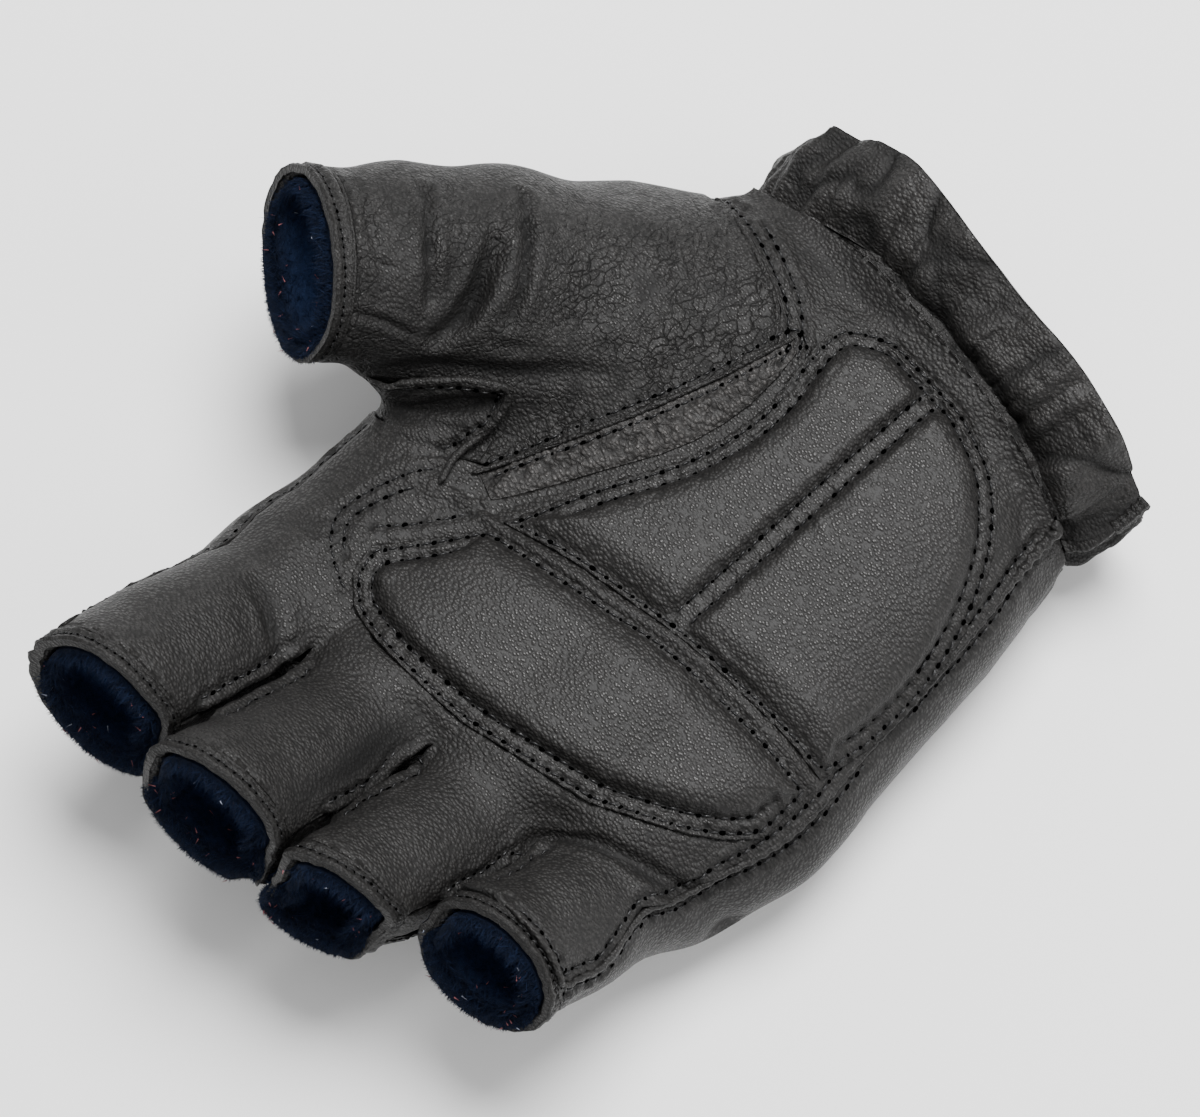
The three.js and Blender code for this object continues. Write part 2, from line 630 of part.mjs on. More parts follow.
// The back leather: the back of the hand and fingers, wrapped round both sides to the seams.
function backPanel() {
  const sheet = new Sheet();
  const rows = HAND_ROWS.map((row) => backRow(row).map((p) => sheet.add(p)));
  sheet.join(rows);
  FINGERS.forEach((name, i) => {
    const isFirst = i === 0;
    const isLast = i === FINGERS.length - 1;
    const from = isFirst ? 0 : WRAP_STEPS + i * COLUMNS_PER_FINGER;
    const to = WRAP_STEPS + (i + 1) * COLUMNS_PER_FINGER + (isLast ? WRAP_STEPS : 0);
    const turn = (c) => mix(-SEAM_ANGLE, SEAM_ANGLE - 180, c / COLUMNS_PER_FINGER);
    const angles = range(COLUMNS_PER_FINGER + 1).map(turn);
    const wrap = range(WRAP_STEPS).map((k) => mix(OUTER_SEAM_ANGLE, -SEAM_ANGLE, k / WRAP_STEPS));
    if (isFirst) angles.unshift(...wrap);
    if (isLast) angles.push(...wrap.map((angle) => -180 - angle).reverse());
    const grid = [rows[rows.length - 1].slice(from, to + 1)];
    for (let row = 1; row <= SLEEVE_ROWS; row += 1) {
      grid.push(angles.map((angle) => sheet.add(ringPoint(name, sleeveShare(name, row), angle))));
    }
    sheet.join(grid);
  });
  sheet.trim();
  notchAtWebs(sheet, rows, WRAP_STEPS);
  return sheet;
}

// The gusset between two neighbouring fingers: one strip, out along both of them.
function gusset(i) {
  const sheet = new Sheet();
  const column = (i + 1) * COLUMNS_PER_FINGER;
  const web = WEBS[i];
  const knuckles = HAND_ROWS[HAND_ROWS.length - 1];
  const back = backRow(knuckles)[WRAP_STEPS + column];
  const palm = palmRow(knuckles)[column];
  const along = (name, row, isThumbSide) => range(GUSSET_STEPS + 1).map((k) => {
    const angle = mix(SEAM_ANGLE, -SEAM_ANGLE, k / GUSSET_STEPS);
    return sheet.add(ringPoint(name, sleeveShare(name, row), isThumbSide ? 180 - angle : angle));
  });
  const rows = [];
  for (let row = SLEEVE_ROWS; row >= 1; row -= 1) rows.push(along(FINGERS[i], row, true));
  const middle = range(GUSSET_STEPS + 1).map((k) => {
    if (k === 0) return palm;
    if (k === GUSSET_STEPS) return back;
    const z = mix(palm.z, back.z, k / GUSSET_STEPS);
    return leave(V(web.x, web.y - WEB_START, z), V(0, 1, 0));
  });
  const middleRow = middle.map((p) => sheet.add(p));
  rows.push(middleRow);
  for (let row = 1; row <= SLEEVE_ROWS; row += 1) rows.push(along(FINGERS[i + 1], row, false));
  sheet.join(rows);
  sheet.trim(GUSSET_GAP);
  // both ends of the fold at the web stop short of the two panels, along the fold
  for (const [end, next] of [[0, 1], [GUSSET_STEPS, GUSSET_STEPS - 1]]) {
    sheet.points[middleRow[end]].copy(middle[end]);
    sheet.pull(middleRow[end], middleRow[next], GUSSET_GAP);
  }
  return sheet;
}

// The edge of the thumb hole: out along the palm side to the web, and home along the back.
function thumbHoleEdge() {
  const palmSide = THUMB_HOLE.map((row) => above(row.palm, row.y));
  const backSide = THUMB_HOLE.map((row) => backRow(row)[0]);
  return [sideSeam(THUMB_HOLE_FROM, 1), ...palmSide, sideSeam(WEB_ROW, 1), ...backSide.reverse()];
}
function thumbPanel() {
  const sheet = new Sheet();
  const edge = thumbHoleEdge();
  const angleOf = (j) => THUMB_START_ANGLE + 360 * j / edge.length;
  const firstRing = edge.map((_, j) => ringPoint('thumb', 0, angleOf(j)));
  const rows = range(THUMB_BASE_ROWS).map((r) => edge.map((p, j) => {
    const q = p.clone().lerp(firstRing[j], r / THUMB_BASE_ROWS);
    return sheet.add(r === 0 ? p : settle(q));
  }));
  rows.push(firstRing.map((p) => sheet.add(p)));
  for (let r = 1; r <= THUMB_RINGS; r += 1) {
    const share = hemShare('thumb') * r / THUMB_RINGS;
    rows.push(edge.map((_, j) => sheet.add(ringPoint('thumb', share, angleOf(j)))));
  }
  sheet.join(rows, true);
  return sheet.trim();
}

// A closed band round a sleeve, between two shares of its length.
function band(name, fromShare, toShare, rowCount) {
  const sheet = new Sheet();
  const rows = range(rowCount + 1).map((r) => range(MOUTH_COLUMNS).map((c) => (
    sheet.add(ringPoint(name, mix(fromShare, toShare, r / rowCount), 360 * c / MOUTH_COLUMNS)))));
  sheet.join(rows, true);
  return sheet;
}
const hem = (name) => band(name, hemShare(name), 1, 1).trim();
const lining = (name) => band(name, 0, 1 - LINING_REACH / sleeveLength(name), LINING_ROWS);

// The gathered cuff, from the elastic line to the mouth.
function cuff() {
  const sheet = new Sheet();
  const waves = [];
  const rows = range(CUFF.rows + 1).map((r) => range(CUFF.columns).map((c) => {
    const share = r / CUFF.rows;
    const angle = 2 * Math.PI * c / CUFF.columns;
    let p = V(WRIST_MIDDLE, CUFF.mouth, 0);
    for (let pass = 0; pass < 3; pass += 1) {
      const mouth = CUFF.mouth + CUFF.bow * (p.x - WRIST_MIDDLE) ** 2;
      const y = mix(ROWS_NEAR_CUFF[0].y + elasticBow(p.x), mouth, share);
      const direction = V(Math.cos(angle) * CUFF.halfWidth, 0, Math.sin(angle) * midHeight(y)).normalize();
      p = leave(V(WRIST_MIDDLE, y, midHeight(y)), direction);
    }
    const wave = RUFFLES.reduce((sum, w) => sum + w.depth * Math.cos(w.folds * angle + w.phase), 0);
    waves.push(wave * mix(CUFF.ruffleAtElastic, 1, share) * clamp01(p.z / CUFF.steadyBelow));
    return sheet.add(p);
  }));
  sheet.join(rows, true);
  sheet.trim();
  return sheet.solid((_, i) => waves[i], (_, i) => waves[i] - CUFF_WALL);
}

// A patch between two curves drawn on the palm. Bow bends its first edge along the hand.
function patchSheet({ sideA, sideB, columns, rows, bow = 0 }, place) {
  const sheet = new Sheet();
  const a = curveOf(sideA).getSpacedPoints(columns);
  const b = curveOf(sideB).getSpacedPoints(columns);
  sheet.join(range(rows + 1).map((r) => range(columns + 1).map((c) => {
    const v = r / rows;
    const p = a[c].clone().lerp(b[c], v);
    p.y += bow * 4 * v * (1 - v) * (1 - c / columns) ** 2;
    return sheet.add(place(p));
  })));
  return sheet;
}
const onPalm = (p) => above(p.x, p.y);
const patchWall = (sheet) => sheet.wall(PATCH_WALL, PATCH_LIFT + PATCH_WALL);
function edgeDistance(sheet) {
  const rim = sheet.edges();
  return sheet.points.map((p) => Math.min(...rim.map(([i, j]) => {
    const line = new THREE.Line3(sheet.points[i], sheet.points[j]);
    return line.closestPointToPoint(p, true, V(0, 0, 0)).distanceTo(p);
  })));
}
function palmPad(name) {
  const sheet = patchSheet(PADS[name], onPalm);
  const distance = edgeDistance(sheet);
  const channel = new THREE.Line3(V(...PAD_CHANNEL.from, 0), V(...PAD_CHANNEL.to, 0));
  const top = (p, i) => {
    const full = clamp01((distance[i] - PAD_FLAT) / PAD_MARGIN);
    const flat = V(p.x, p.y, 0);
    const away = channel.closestPointToPoint(flat, true, V(0, 0, 0)).distanceTo(flat);
    const groove = PAD_CHANNEL.depth * Math.exp(-((away / PAD_CHANNEL.width) ** 2));
    const kept = PADS[name].hasChannel ? 1 - groove : 1;
    return PATCH_LIFT + PATCH_WALL + PAD_RISE * full * (2 - full) * kept;
  };
  return sheet.solid(top, () => PATCH_LIFT);
}

// The bound corner where the outer side seam meets the mouth of the cuff.
function cuffBinding() {
  const centreLine = range(BINDING.steps + 1).map((k) => {
    const y = mix(BINDING.y0, BINDING.y1, k / BINDING.steps);
    const turn = sideTurn(y, -1);
    const p = turn.at(BINDING.turn);
    return p.addScaledVector(normalAt(p), BINDING.lift);
  });
  const shape = new THREE.Shape(range(BINDING.sides).map((k) => {
    const angle = 2 * Math.PI * k / BINDING.sides;
    return new THREE.Vector2(BINDING.radius * Math.cos(angle), BINDING.radius * Math.sin(angle));
  }));
  const extrudePath = new THREE.CatmullRomCurve3(centreLine);
  return new THREE.ExtrudeGeometry(shape, { steps: BINDING.steps, extrudePath });
}

const COLOURS = {
  leather: { color: 0x34302e, roughness: 0.55 },
  pad: { color: 0x36322f, roughness: 0.5 },
  pebbled: { color: 0x302d2b, roughness: 0.45 },
  hem: { color: 0x2a2725, roughness: 0.55 },
  fleece: { color: 0x0a1120, roughness: 0.95 },
};

const glove = new THREE.Group();
glove.position.set(-FOOTPRINT_CENTRE.x, -FOOTPRINT_CENTRE.y, 0);
function piece(name, geometry, finish) {
  const material = new THREE.MeshStandardMaterial({ ...COLOURS[finish], metalness: 0 });
  const mesh = new THREE.Mesh(geometry, material);
  mesh.name = name;
  glove.add(mesh);
}

piece('palm_panel', palmPanel().wall(WALL), 'leather');
piece('back_panel', backPanel().wall(WALL), 'leather');
piece('thumb_panel', thumbPanel().wall(WALL), 'leather');
['index_middle', 'middle_ring', 'ring_little'].forEach((name, i) => {
  piece(`gusset_${name}`, gusset(i).wall(WALL), 'leather');
});
for (const name of [...FINGERS, 'thumb']) {
  piece(`hem_${name}`, hem(name).wall(HEM_WALL), 'hem');
  piece(`lining_${name}`, lining(name).wall(PILE, -LINING_DEPTH), 'fleece');
}
piece('cuff', cuff(), 'leather');
piece('cuff_binding', cuffBinding(), 'hem');
piece('front_palm_pad', palmPad('front_palm_pad'), 'pad');
piece('rear_palm_pad', palmPad('rear_palm_pad'), 'pad');
piece('thumb_crescent', patchWall(patchSheet(CRESCENT, onPalm)), 'pebbled');
piece('web_gusset', patchWall(patchSheet(WEB, settle)), 'leather');

const model = new THREE.Group();
model.add(glove);
export default model;
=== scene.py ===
import math

import bpy
import numpy as np
from bpy.props import FloatProperty, FloatVectorProperty, IntProperty, PointerProperty
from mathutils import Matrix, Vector
from mathutils.kdtree import KDTree


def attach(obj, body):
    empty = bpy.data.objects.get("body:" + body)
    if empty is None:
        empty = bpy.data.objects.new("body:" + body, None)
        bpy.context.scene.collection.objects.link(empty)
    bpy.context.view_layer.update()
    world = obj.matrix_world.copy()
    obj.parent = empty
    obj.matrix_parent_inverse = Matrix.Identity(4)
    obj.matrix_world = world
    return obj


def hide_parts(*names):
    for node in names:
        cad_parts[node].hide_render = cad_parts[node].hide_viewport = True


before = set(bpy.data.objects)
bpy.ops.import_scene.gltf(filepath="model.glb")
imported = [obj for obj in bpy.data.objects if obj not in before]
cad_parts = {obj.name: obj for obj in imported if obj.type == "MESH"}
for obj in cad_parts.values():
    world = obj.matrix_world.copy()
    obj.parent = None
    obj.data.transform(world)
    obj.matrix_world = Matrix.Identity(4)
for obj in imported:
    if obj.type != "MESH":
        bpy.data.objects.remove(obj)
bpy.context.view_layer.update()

bl_info = {
    "name": "Fingerless riding glove",
    "version": (1, 0, 0),
    "blender": (4, 5, 0),
    "location": "View3D > Sidebar > Glove",
    "description": "Leather, stitching and lining of a fingerless glove, round its solids",
    "category": "Object",
}

MM = 0.001
FOOTPRINT_CENTRE = np.array([23.77, 5.21, 0.0])
FAR = 1e9
EVERYWHERE = (-FAR, FAR)
SURE = 0.99             # corners above this share belong wholly to the outer side of a wall

# The skin: how the forms of the hand blend, and the sections of the hand and sleeves.
FINGER_BLEND = 9
THUMB_BLEND = 13
BETWEEN_FINGERS_BLEND = 1.2
FLOOR_BLEND = 0.8
JOINT_BLEND = 6
FLOOR_DIP = -1.5
PAST_MOUTH = 1.6
KNUCKLE_END = {"y": 42.5, "slope": 0.3, "blend": 10}
# y, centre across, half width, top, squareness
HAND = np.array([
    (-96, 6.0, 43.5, 50.0, 2.2),
    (-80, 6.5, 44.0, 45.4, 2.2),
    (-72, 7.0, 45.0, 41.4, 2.2),
    (-66, 6.0, 43.2, 37.3, 2.3),
    (-61, 5.5, 42.0, 34.6, 2.4),
    (-54, 4.5, 42.5, 35.0, 2.5),
    (-40, 2.0, 43.5, 35.5, 2.5),
    (-18, 0.5, 46.0, 34.7, 2.5),
    (5, 0.0, 47.2, 34.7, 2.5),
    (25, 1.4, 45.6, 34.3, 2.5),
    (42, 4.0, 42.0, 33.5, 2.4),
    (60, 4.0, 41.0, 32.5, 2.3),
])
# centre, half width and half height at each station, from inside the hand to the mouth
SLEEVES = {
    "index": [(43, 17, 19, 14.2, 12.5), (43, 42, 19.5, 13.8, 12.6), (39.6, 84.7, 44.4, 13.6, 12.4)],
    "middle": [(12, 10, 18, 12, 12.5), (15.2, 44, 19.5, 13.4, 12.6),
               (13.1, 82.4, 48.1, 13.5, 12.3)],
    "ring": [(-10, 5, 18, 12, 12.5), (-9.6, 39, 19, 12.8, 12.2), (-9.2, 76.6, 42.4, 11.5, 11.2)],
    "little": [(-30, 0, 18, 11.5, 12), (-32.4, 28, 18.5, 11.8, 11.8), (-33, 62, 41, 11.6, 11.4)],
    "thumb": [
        (34, -44, 20.5, 17, 15.5), (47.5, -30, 23.5, 22, 17.5), (61.5, -15, 32, 19.5, 16.5),
        (71.5, -2.5, 40, 16.8, 14), (80.2, 12.2, 48, 15.4, 12.4),
    ],
}
FINGERS = ("index", "middle", "ring", "little")
DIGITS = FINGERS + ("thumb",)
MOUTH_NORMAL = {
    "index": (-0.36, 0.82, 0.43), "middle": (-0.34, 0.82, 0.44), "ring": (-0.38, 0.79, 0.46),
    "little": (-0.28, 0.78, 0.56), "thumb": (0.40, 0.76, 0.52),
}
# where two fingers part: x, y, drift in x along the fingers
WEBS = ((28.8, 54.5, -0.085), (3.4, 49, -0.12), (-22.0, 43.5, 0.065))
FINGER_GAP = 1.6
GAP_ROUND = 1.2
# the large creases in the palm side: from x, y, to x, y, depth, width
FOLDS = (
    (-19, 38, -46, 22, 2.2, 3.4), (50, 46, 32, 54, 1.3, 3.6),
    (64, -23, 54, -8, 1.0, 3.0), (60, -12, 57, 1, 1.8, 3.8),
)
FOLD_ENDS = 0.15
WRIST_MIDDLE = 6.5
CUFF_MOUTH = -81.6
CUFF_MOUTH_BOW = 0.0016
CUFF_HALF_WIDTH = 44
ELASTIC_Y = -67.3
ELASTIC_BOW = 4.2
ELASTIC_HALF_WIDTH = 40
RUFFLE_AT_ELASTIC = 0.6
RUFFLE_STEADY_BELOW = 12
# folds round the cuff, phase, depth
RUFFLES = ((13, 0.4, 0.75), (21, 1.9, 0.4), (7, 2.6, 0.5))
PAD_CHANNEL = ((-2.0, -62.0), (-6.6, 1.0))

# Small shifts of whole regions, which bring the outline closer to the real glove's.
SEEN_RIGHT = np.array([-0.6225, -0.7826, 0.0])
SEEN_UP = np.array([0.744, -0.592, 0.309])
# x, y, z, shift to the right and up as the palm is seen, reach
REGION_SHIFTS = (
    (57.1, 9.0, 35.0, -3.1, 0.1, 7), (56.5, 22.0, 25.0, -0.8, 0.6, 8),
    (54.0, 44.0, 33.0, 0.6, -0.9, 7),
    (51.1, 69.2, 44.5, -0.8, 1.3, 11), (61.4, -44.5, 34.1, 0.1, -1.8, 9),
    (49.0, -64.6, 23.1, -2.6, 2.4, 8),
    (33.0, -78.5, 41.1, 1.3, 2.2, 12), (1.4, -79.4, 45.1, -1.1, -1.1, 12),
    (-47.8, 6.0, 20.2, 1.5, -2.6, 12),
    (-44.4, 45.7, 31.9, 0.5, -1.2, 11),
)
MOUTH_SHIFT_DEPTH = 15
# shift to the right and up, and the direction round the mouth in which it is largest
MOUTH_SHIFTS = {
    "index": (3.6, 0.2, -45), "middle": (2.9, 0.8, -60), "ring": (0.7, 2.1, -100),
    "little": (2.0, 1.3, -70), "thumb": (1.5, 0.1, -70),
}

# For each solid: the piece laid over it, how finely its faces are split, and its finish.
PIECES = {
    "palm_panel": ("palm_leather", 7, "leather"),
    "back_panel": ("back_leather", 5, "leather"),
    "thumb_panel": ("thumb_leather", 9, "leather"),
    "cuff": ("cuff_leather", 8, "leather"),
    "cuff_binding": ("cuff_corner_binding", 6, "edge_leather"),
    "front_palm_pad": ("front_pad_leather", 10, "pad_leather"),
    "rear_palm_pad": ("rear_pad_leather", 10, "pad_leather"),
    "thumb_crescent": ("pebbled_crescent", 12, "pebbled_leather"),
    "web_gusset": ("web_patch", 12, "leather"),
}
GUSSETS = tuple(f"gusset_{one}_{other}" for one, other in zip(FINGERS, FINGERS[1:]))
for _node in GUSSETS:
    PIECES[_node] = (_node.replace("gusset", "gusset_leather"), 7, "leather")
for _name in DIGITS:
    PIECES[f"hem_{_name}"] = (f"turned_edge_{_name}", 8, "edge_leather")
    PIECES[f"lining_{_name}"] = (f"fleece_{_name}", 4, "fleece")

PADS = ("front_palm_pad", "rear_palm_pad")
PAD_OUTER_ABOVE = 1.35          # where the outer side of a pad begins, above the skin


def to_frame(points):
    return (np.asarray(points, float) - FOOTPRINT_CENTRE) * MM


def from_frame(points):
    return np.asarray(points, float) / MM + FOOTPRINT_CENTRE


def unit(vectors):
    vectors = np.asarray(vectors, float)
    return vectors / np.maximum(np.linalg.norm(vectors, axis=-1, keepdims=True), 1e-9)


def mix(a, b, t):
    return a + (b - a) * t


def bell(distance, width):
    return np.exp(-((distance / width) ** 2))


def segment(points, a, b):
    """How far points lie from the stretch from a to b, and how far along it they are nearest."""
    along = np.asarray(b, float) - a
    q = points - a
    t = np.clip(q @ along / (along @ along), 0, 1)
    return np.linalg.norm(q - t[:, None] * along, axis=1), t


def within(points, x=EVERYWHERE, y=EVERYWHERE):
    """Which points lie between these bounds of x and y."""
    return np.all([(points[:, k] > low) & (points[:, k] < high)
                   for k, (low, high) in enumerate((x, y))], axis=0)


def line_distance(points, places):
    """How far points lie from a line through places, in two or three dimensions."""
    places = np.array(places, float)
    away = np.full(len(points), FAR)
    for a, b in zip(places, places[1:]):
        away = np.minimum(away, segment(points, a, b)[0])
    return away


def smooth_min(a, b, k):
    h = np.clip(0.5 + 0.5 * (b - a) / k, 0, 1)
    return mix(b, a, h) - k * h * (1 - h)


def smooth_max(a, b, k):
    return -smooth_min(-a, -b, k)


def section_curve(column):
    """A smooth curve through one column of the table of hand sections."""
    knots, values = HAND[:, 0], column
    before = np.maximum(np.arange(len(knots)) - 1, 0)
    after = np.minimum(np.arange(len(knots)) + 1, len(knots) - 1)
    slopes = (values[after] - values[before]) / (knots[after] - knots[before])

    def at(y):
        i = np.clip(np.searchsorted(knots, y, side="left") - 1, 0, len(knots) - 2)
        h = knots[i + 1] - knots[i]
        t = np.clip((y - knots[i]) / h, 0, 1)
        t2, t3 = t * t, t * t * t
        return ((2 * t3 - 3 * t2 + 1) * values[i] + (t3 - 2 * t2 + t) * slopes[i] * h
                + (3 * t2 - 2 * t3) * values[i + 1] + (t3 - t2) * slopes[i + 1] * h)
    return at


CENTRE_X = section_curve(HAND[:, 1])
HALF_WIDTH = section_curve(HAND[:, 2])
MID_HEIGHT = section_curve((HAND[:, 3] + FLOOR_DIP) / 2)
HALF_HEIGHT = section_curve((HAND[:, 3] - FLOOR_DIP) / 2)
SQUARENESS = section_curve(HAND[:, 4])


def sleeve_links(stations):
    """The elliptical links of one sleeve, carried on past its mouth."""
    stations = [np.array(s, float) for s in stations]
    past = stations[-1].copy()
    past[:3] = mix(stations[-2][:3], stations[-1][:3], PAST_MOUTH)
    chain = stations + [past]
    links = []
    for start, end in zip(chain, chain[1:]):
        axis = end[:3] - start[:3]
        length = np.linalg.norm(axis)
        axis = axis / length
        side = unit(np.cross(axis, (0, 0, 1)))
        links.append((start, end, axis, length, side, np.cross(side, axis)))
    return links


LINKS = {name: sleeve_links(stations) for name, stations in SLEEVES.items()}


def sleeve(name, points):
    distance = None
    for start, end, axis, length, side, up in LINKS[name]:
        q = points - start[:3]
        along = q @ axis
        h = np.clip(along / length, 0, 1)
        a, b = mix(start[3], end[3], h), mix(start[4], end[4], h)
        small = np.minimum(a, b)
        rest = along - h * length
        f = np.sqrt((q @ side / a) ** 2 + (q @ up / b) ** 2 + (rest / small) ** 2)
        d = (f - 1) * small
        distance = d if distance is None else smooth_min(distance, d, JOINT_BLEND)
    return distance


def hand_body(points):
    x, y, z = points.T
    a, b, e = HALF_WIDTH(y), HALF_HEIGHT(y), SQUARENESS(y)
    f = (np.abs((x - CENTRE_X(y)) / a) ** e + np.abs((z - MID_HEIGHT(y)) / b) ** e) ** (1 / e)
    end = y - (KNUCKLE_END["y"] + KNUCKLE_END["slope"] * x)
    return smooth_max((f - 1) * np.minimum(a, b), end, KNUCKLE_END["blend"])


def on_palm_side(points):
    return points[:, 2] > MID_HEIGHT(points[:, 1])


def fold_depth(points):
    depth = np.zeros(len(points))
    for x0, y0, x1, y1, deep, width in FOLDS:
        away, t = segment(points[:, :2], (x0, y0), (x1, y1))
        depth += deep * np.sin(math.pi * mix(FOLD_ENDS, 1 - FOLD_ENDS, t)) * bell(away, width)
    return np.where(on_palm_side(points), depth, 0)


def skin(points):
    """Distance to the outside of the glove, negative inside, in millimetres."""
    fingers = sleeve("index", points)
    for name in FINGERS[1:]:
        fingers = smooth_min(fingers, sleeve(name, points), BETWEEN_FINGERS_BLEND)
    d = smooth_min(hand_body(points), fingers, FINGER_BLEND)
    d = smooth_min(d, sleeve("thumb", points), THUMB_BLEND)
    x, y, z = points.T
    for web_x, web_y, lean in WEBS:
        middle = web_x + lean * np.maximum(0, y - web_y)
        gap = np.maximum(np.abs(x - middle) - FINGER_GAP / 2, web_y - y)
        d = smooth_max(d, -gap, GAP_ROUND)
    return smooth_max(d + fold_depth(points), -z, FLOOR_BLEND)


def slope(points, e=0.3):
    return np.stack([(skin(points + step) - skin(points - step)) / (2 * e)
                     for step in np.eye(3) * e], axis=1)


def settle(points, steps=3):
    """The nearest places on the skin, and the normals there."""
    points = np.array(points, float)
    e = 0.2
    for _ in range(steps):
        d = skin(points)
        g = np.stack([(skin(points + step) - d) / e for step in np.eye(3) * e], axis=1)
        size = np.maximum(np.linalg.norm(g, axis=1), 0.3)
        move = np.clip(d / size, -2.5, 2.5)
        points -= g / size[:, None] * move[:, None]
    return points, unit(slope(points))


def leave(origins, directions, reach=60.0):
    """The first places where rays from inside leave the skin."""
    origins, directions = np.atleast_2d(origins), np.atleast_2d(directions)
    origins = np.broadcast_to(origins, directions.shape).astype(float)
    low = np.zeros(len(directions))
    going = np.ones(len(directions), bool)
    step = 0.8
    while going.any() and low.max() < reach:
        t = low + step
        inside = skin(origins + directions * t[:, None]) < 0
        going &= inside
        low = np.where(going, t, low)
    high = low + step
    for _ in range(14):
        middle = (low + high) / 2
        inside = skin(origins + directions * middle[:, None]) < 0
        low, high = np.where(inside, middle, low), np.where(inside, high, middle)
    return origins + directions * low[:, None]


def above(x, y):
    x, y = np.atleast_1d(x).astype(float), np.atleast_1d(y).astype(float)
    origins = np.stack([x, y, MID_HEIGHT(y)], axis=1)
    return leave(origins, np.broadcast_to((0.0, 0.0, 1.0), origins.shape))


NOISE_PRIMES = np.array([374761393, 668265263, 2147483647])
NOISE_SEED_PRIME, NOISE_MIX_PRIME = 974711, 1274126177


def noise(points, size, seed=0):
    """Smooth random values from -1 to 1, with blobs of about this size in millimetres."""
    q = np.asarray(points, float) / size + seed * 17.31
    cell = np.floor(q).astype(np.int64)
    t = q - cell
    t = t * t * (3 - 2 * t)
    total = np.zeros(len(q))
    for corner in range(8):
        offset = np.array([corner & 1, corner >> 1 & 1, corner >> 2 & 1])
        c = cell + offset
        h = (c @ NOISE_PRIMES + seed * NOISE_SEED_PRIME) & 0xFFFFFFFF
        h = ((h ^ (h >> 13)) * NOISE_MIX_PRIME) & 0xFFFFFFFF
        value = ((h ^ (h >> 16)) & 0xFFFF) / 32767.5 - 1
        weight = np.prod(np.where(offset, t, 1 - t), axis=1)
        total += value * weight
    return total


def creases(points, size, seed=0, sharp=2.5):
    """A net of thin valleys, 0 between them and 1 along them."""
    warped = points + 0.35 * size * np.stack(
        [noise(points, size * 1.3, seed + k) for k in (1, 2, 3)], axis=1)
    return np.clip(1 - np.abs(noise(warped, size, seed + 4)) * sharp, 0, 1) ** 2


def stretched(points, direction, factor):
    """Points squeezed along a direction, so that a pattern on them runs long that way."""
    direction = unit(direction)
    along = points @ direction
    return points - (along * (1 - 1 / factor))[:, None] * direction


def welded(node):
    """The corners and triangles of a solid, in millimetres."""
    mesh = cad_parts[node].data
    mesh.calc_loop_triangles()
    corners = np.zeros(len(mesh.vertices) * 3)
    mesh.vertices.foreach_get("co", corners)
    faces = np.zeros(len(mesh.loop_triangles) * 3, np.int64)
    mesh.loop_triangles.foreach_get("vertices", faces)
    corners = corners.reshape(-1, 3)
    _, first, which = np.unique(np.round(corners / 2e-6).astype(np.int64), axis=0,
                                return_index=True, return_inverse=True)
    return from_frame(corners[first]), which.ravel()[faces].reshape(-1, 3)


def split(values, faces, n):
    """Splits each triangle into n by n. Values are per corner, and are carried on evenly."""
    edges = np.stack([faces, np.roll(faces, -1, axis=1)], axis=2)
    ordered = np.sort(edges, axis=2).reshape(-1, 2)
    unique, which = np.unique(ordered, axis=0, return_inverse=True)
    which = which.reshape(-1, 3)
    flipped = edges[:, :, 0] > edges[:, :, 1]
    count, inner = len(values), (n - 1) * (n - 2) // 2
    steps = np.arange(1, n) / n
    on_edges = (values[unique[:, 0], None] * (1 - steps)[None, :, None]
                + values[unique[:, 1], None] * steps[None, :, None])
    parts = [values, on_edges.reshape(-1, values.shape[1])]
    grid = {}
    spots = [(i, j) for i in range(n + 1) for j in range(n + 1 - i)]
    place = 0
    weights = []
    for i, j in spots:
        k = n - i - j
        if (i, j, k).count(0) == 2:
            grid[i, j] = faces[:, 0] if k == n else faces[:, 1] if i == n else faces[:, 2]
        elif 0 in (i, j, k):
            edge, m = (0, i) if j == 0 else (1, j) if k == 0 else (2, k)
            m = np.where(flipped[:, edge], n - m, m)
            grid[i, j] = count + which[:, edge] * (n - 1) + m - 1
        else:
            grid[i, j] = count + len(unique) * (n - 1) + np.arange(len(faces)) * inner + place
            weights.append((k / n, i / n, j / n))
            place += 1
    if weights:
        inside = np.einsum("wc,fcv->fwv", np.array(weights), values[faces])
        parts.append(inside.reshape(-1, values.shape[1]))
    small = []
    for i in range(n):
        for j in range(n - i):
            small.append((grid[i, j], grid[i + 1, j], grid[i, j + 1]))
            if i + j < n - 1:
                small.append((grid[i + 1, j], grid[i + 1, j + 1], grid[i, j + 1]))
    triangles = np.concatenate([np.stack(t, axis=1) for t in small])
    return np.concatenate(parts), triangles


def arc_lengths(places):
    """How far along a line each of its places is."""
    return np.concatenate([[0], np.cumsum(np.linalg.norm(np.diff(places, axis=0), axis=1))])


class Line:
    """A line on the skin: places, normals, arc lengths and the way inward over its panel."""

    fineness = 1.0          # stitch size in this row, as a share of the usual one

    def __init__(self, points, normals, inward, closed):
        self.points, self.normals, self.inward, self.closed = points, normals, inward, closed
        self.arc = arc_lengths(points)

    def offset(self, distance):
        moved, normals = settle(self.points + self.inward * distance, 2)
        return Line(moved, normals, self.inward, self.closed)

    def where(self, test):
        """The stretches of the line whose places pass a test."""
        good = test(self.points)
        if good.all():
            return [self]
        order = np.arange(len(good))
        if self.closed:
            order = np.roll(order, -int(np.argmin(good)))
        runs, run = [], []
        for i in order:
            if good[i]:
                run.append(i)
            elif run:
                runs.append(run)
                run = []
        if run:
            runs.append(run)
        return [Line(self.points[r], self.normals[r], self.inward[r], False)
                for r in runs if len(r) > 8]


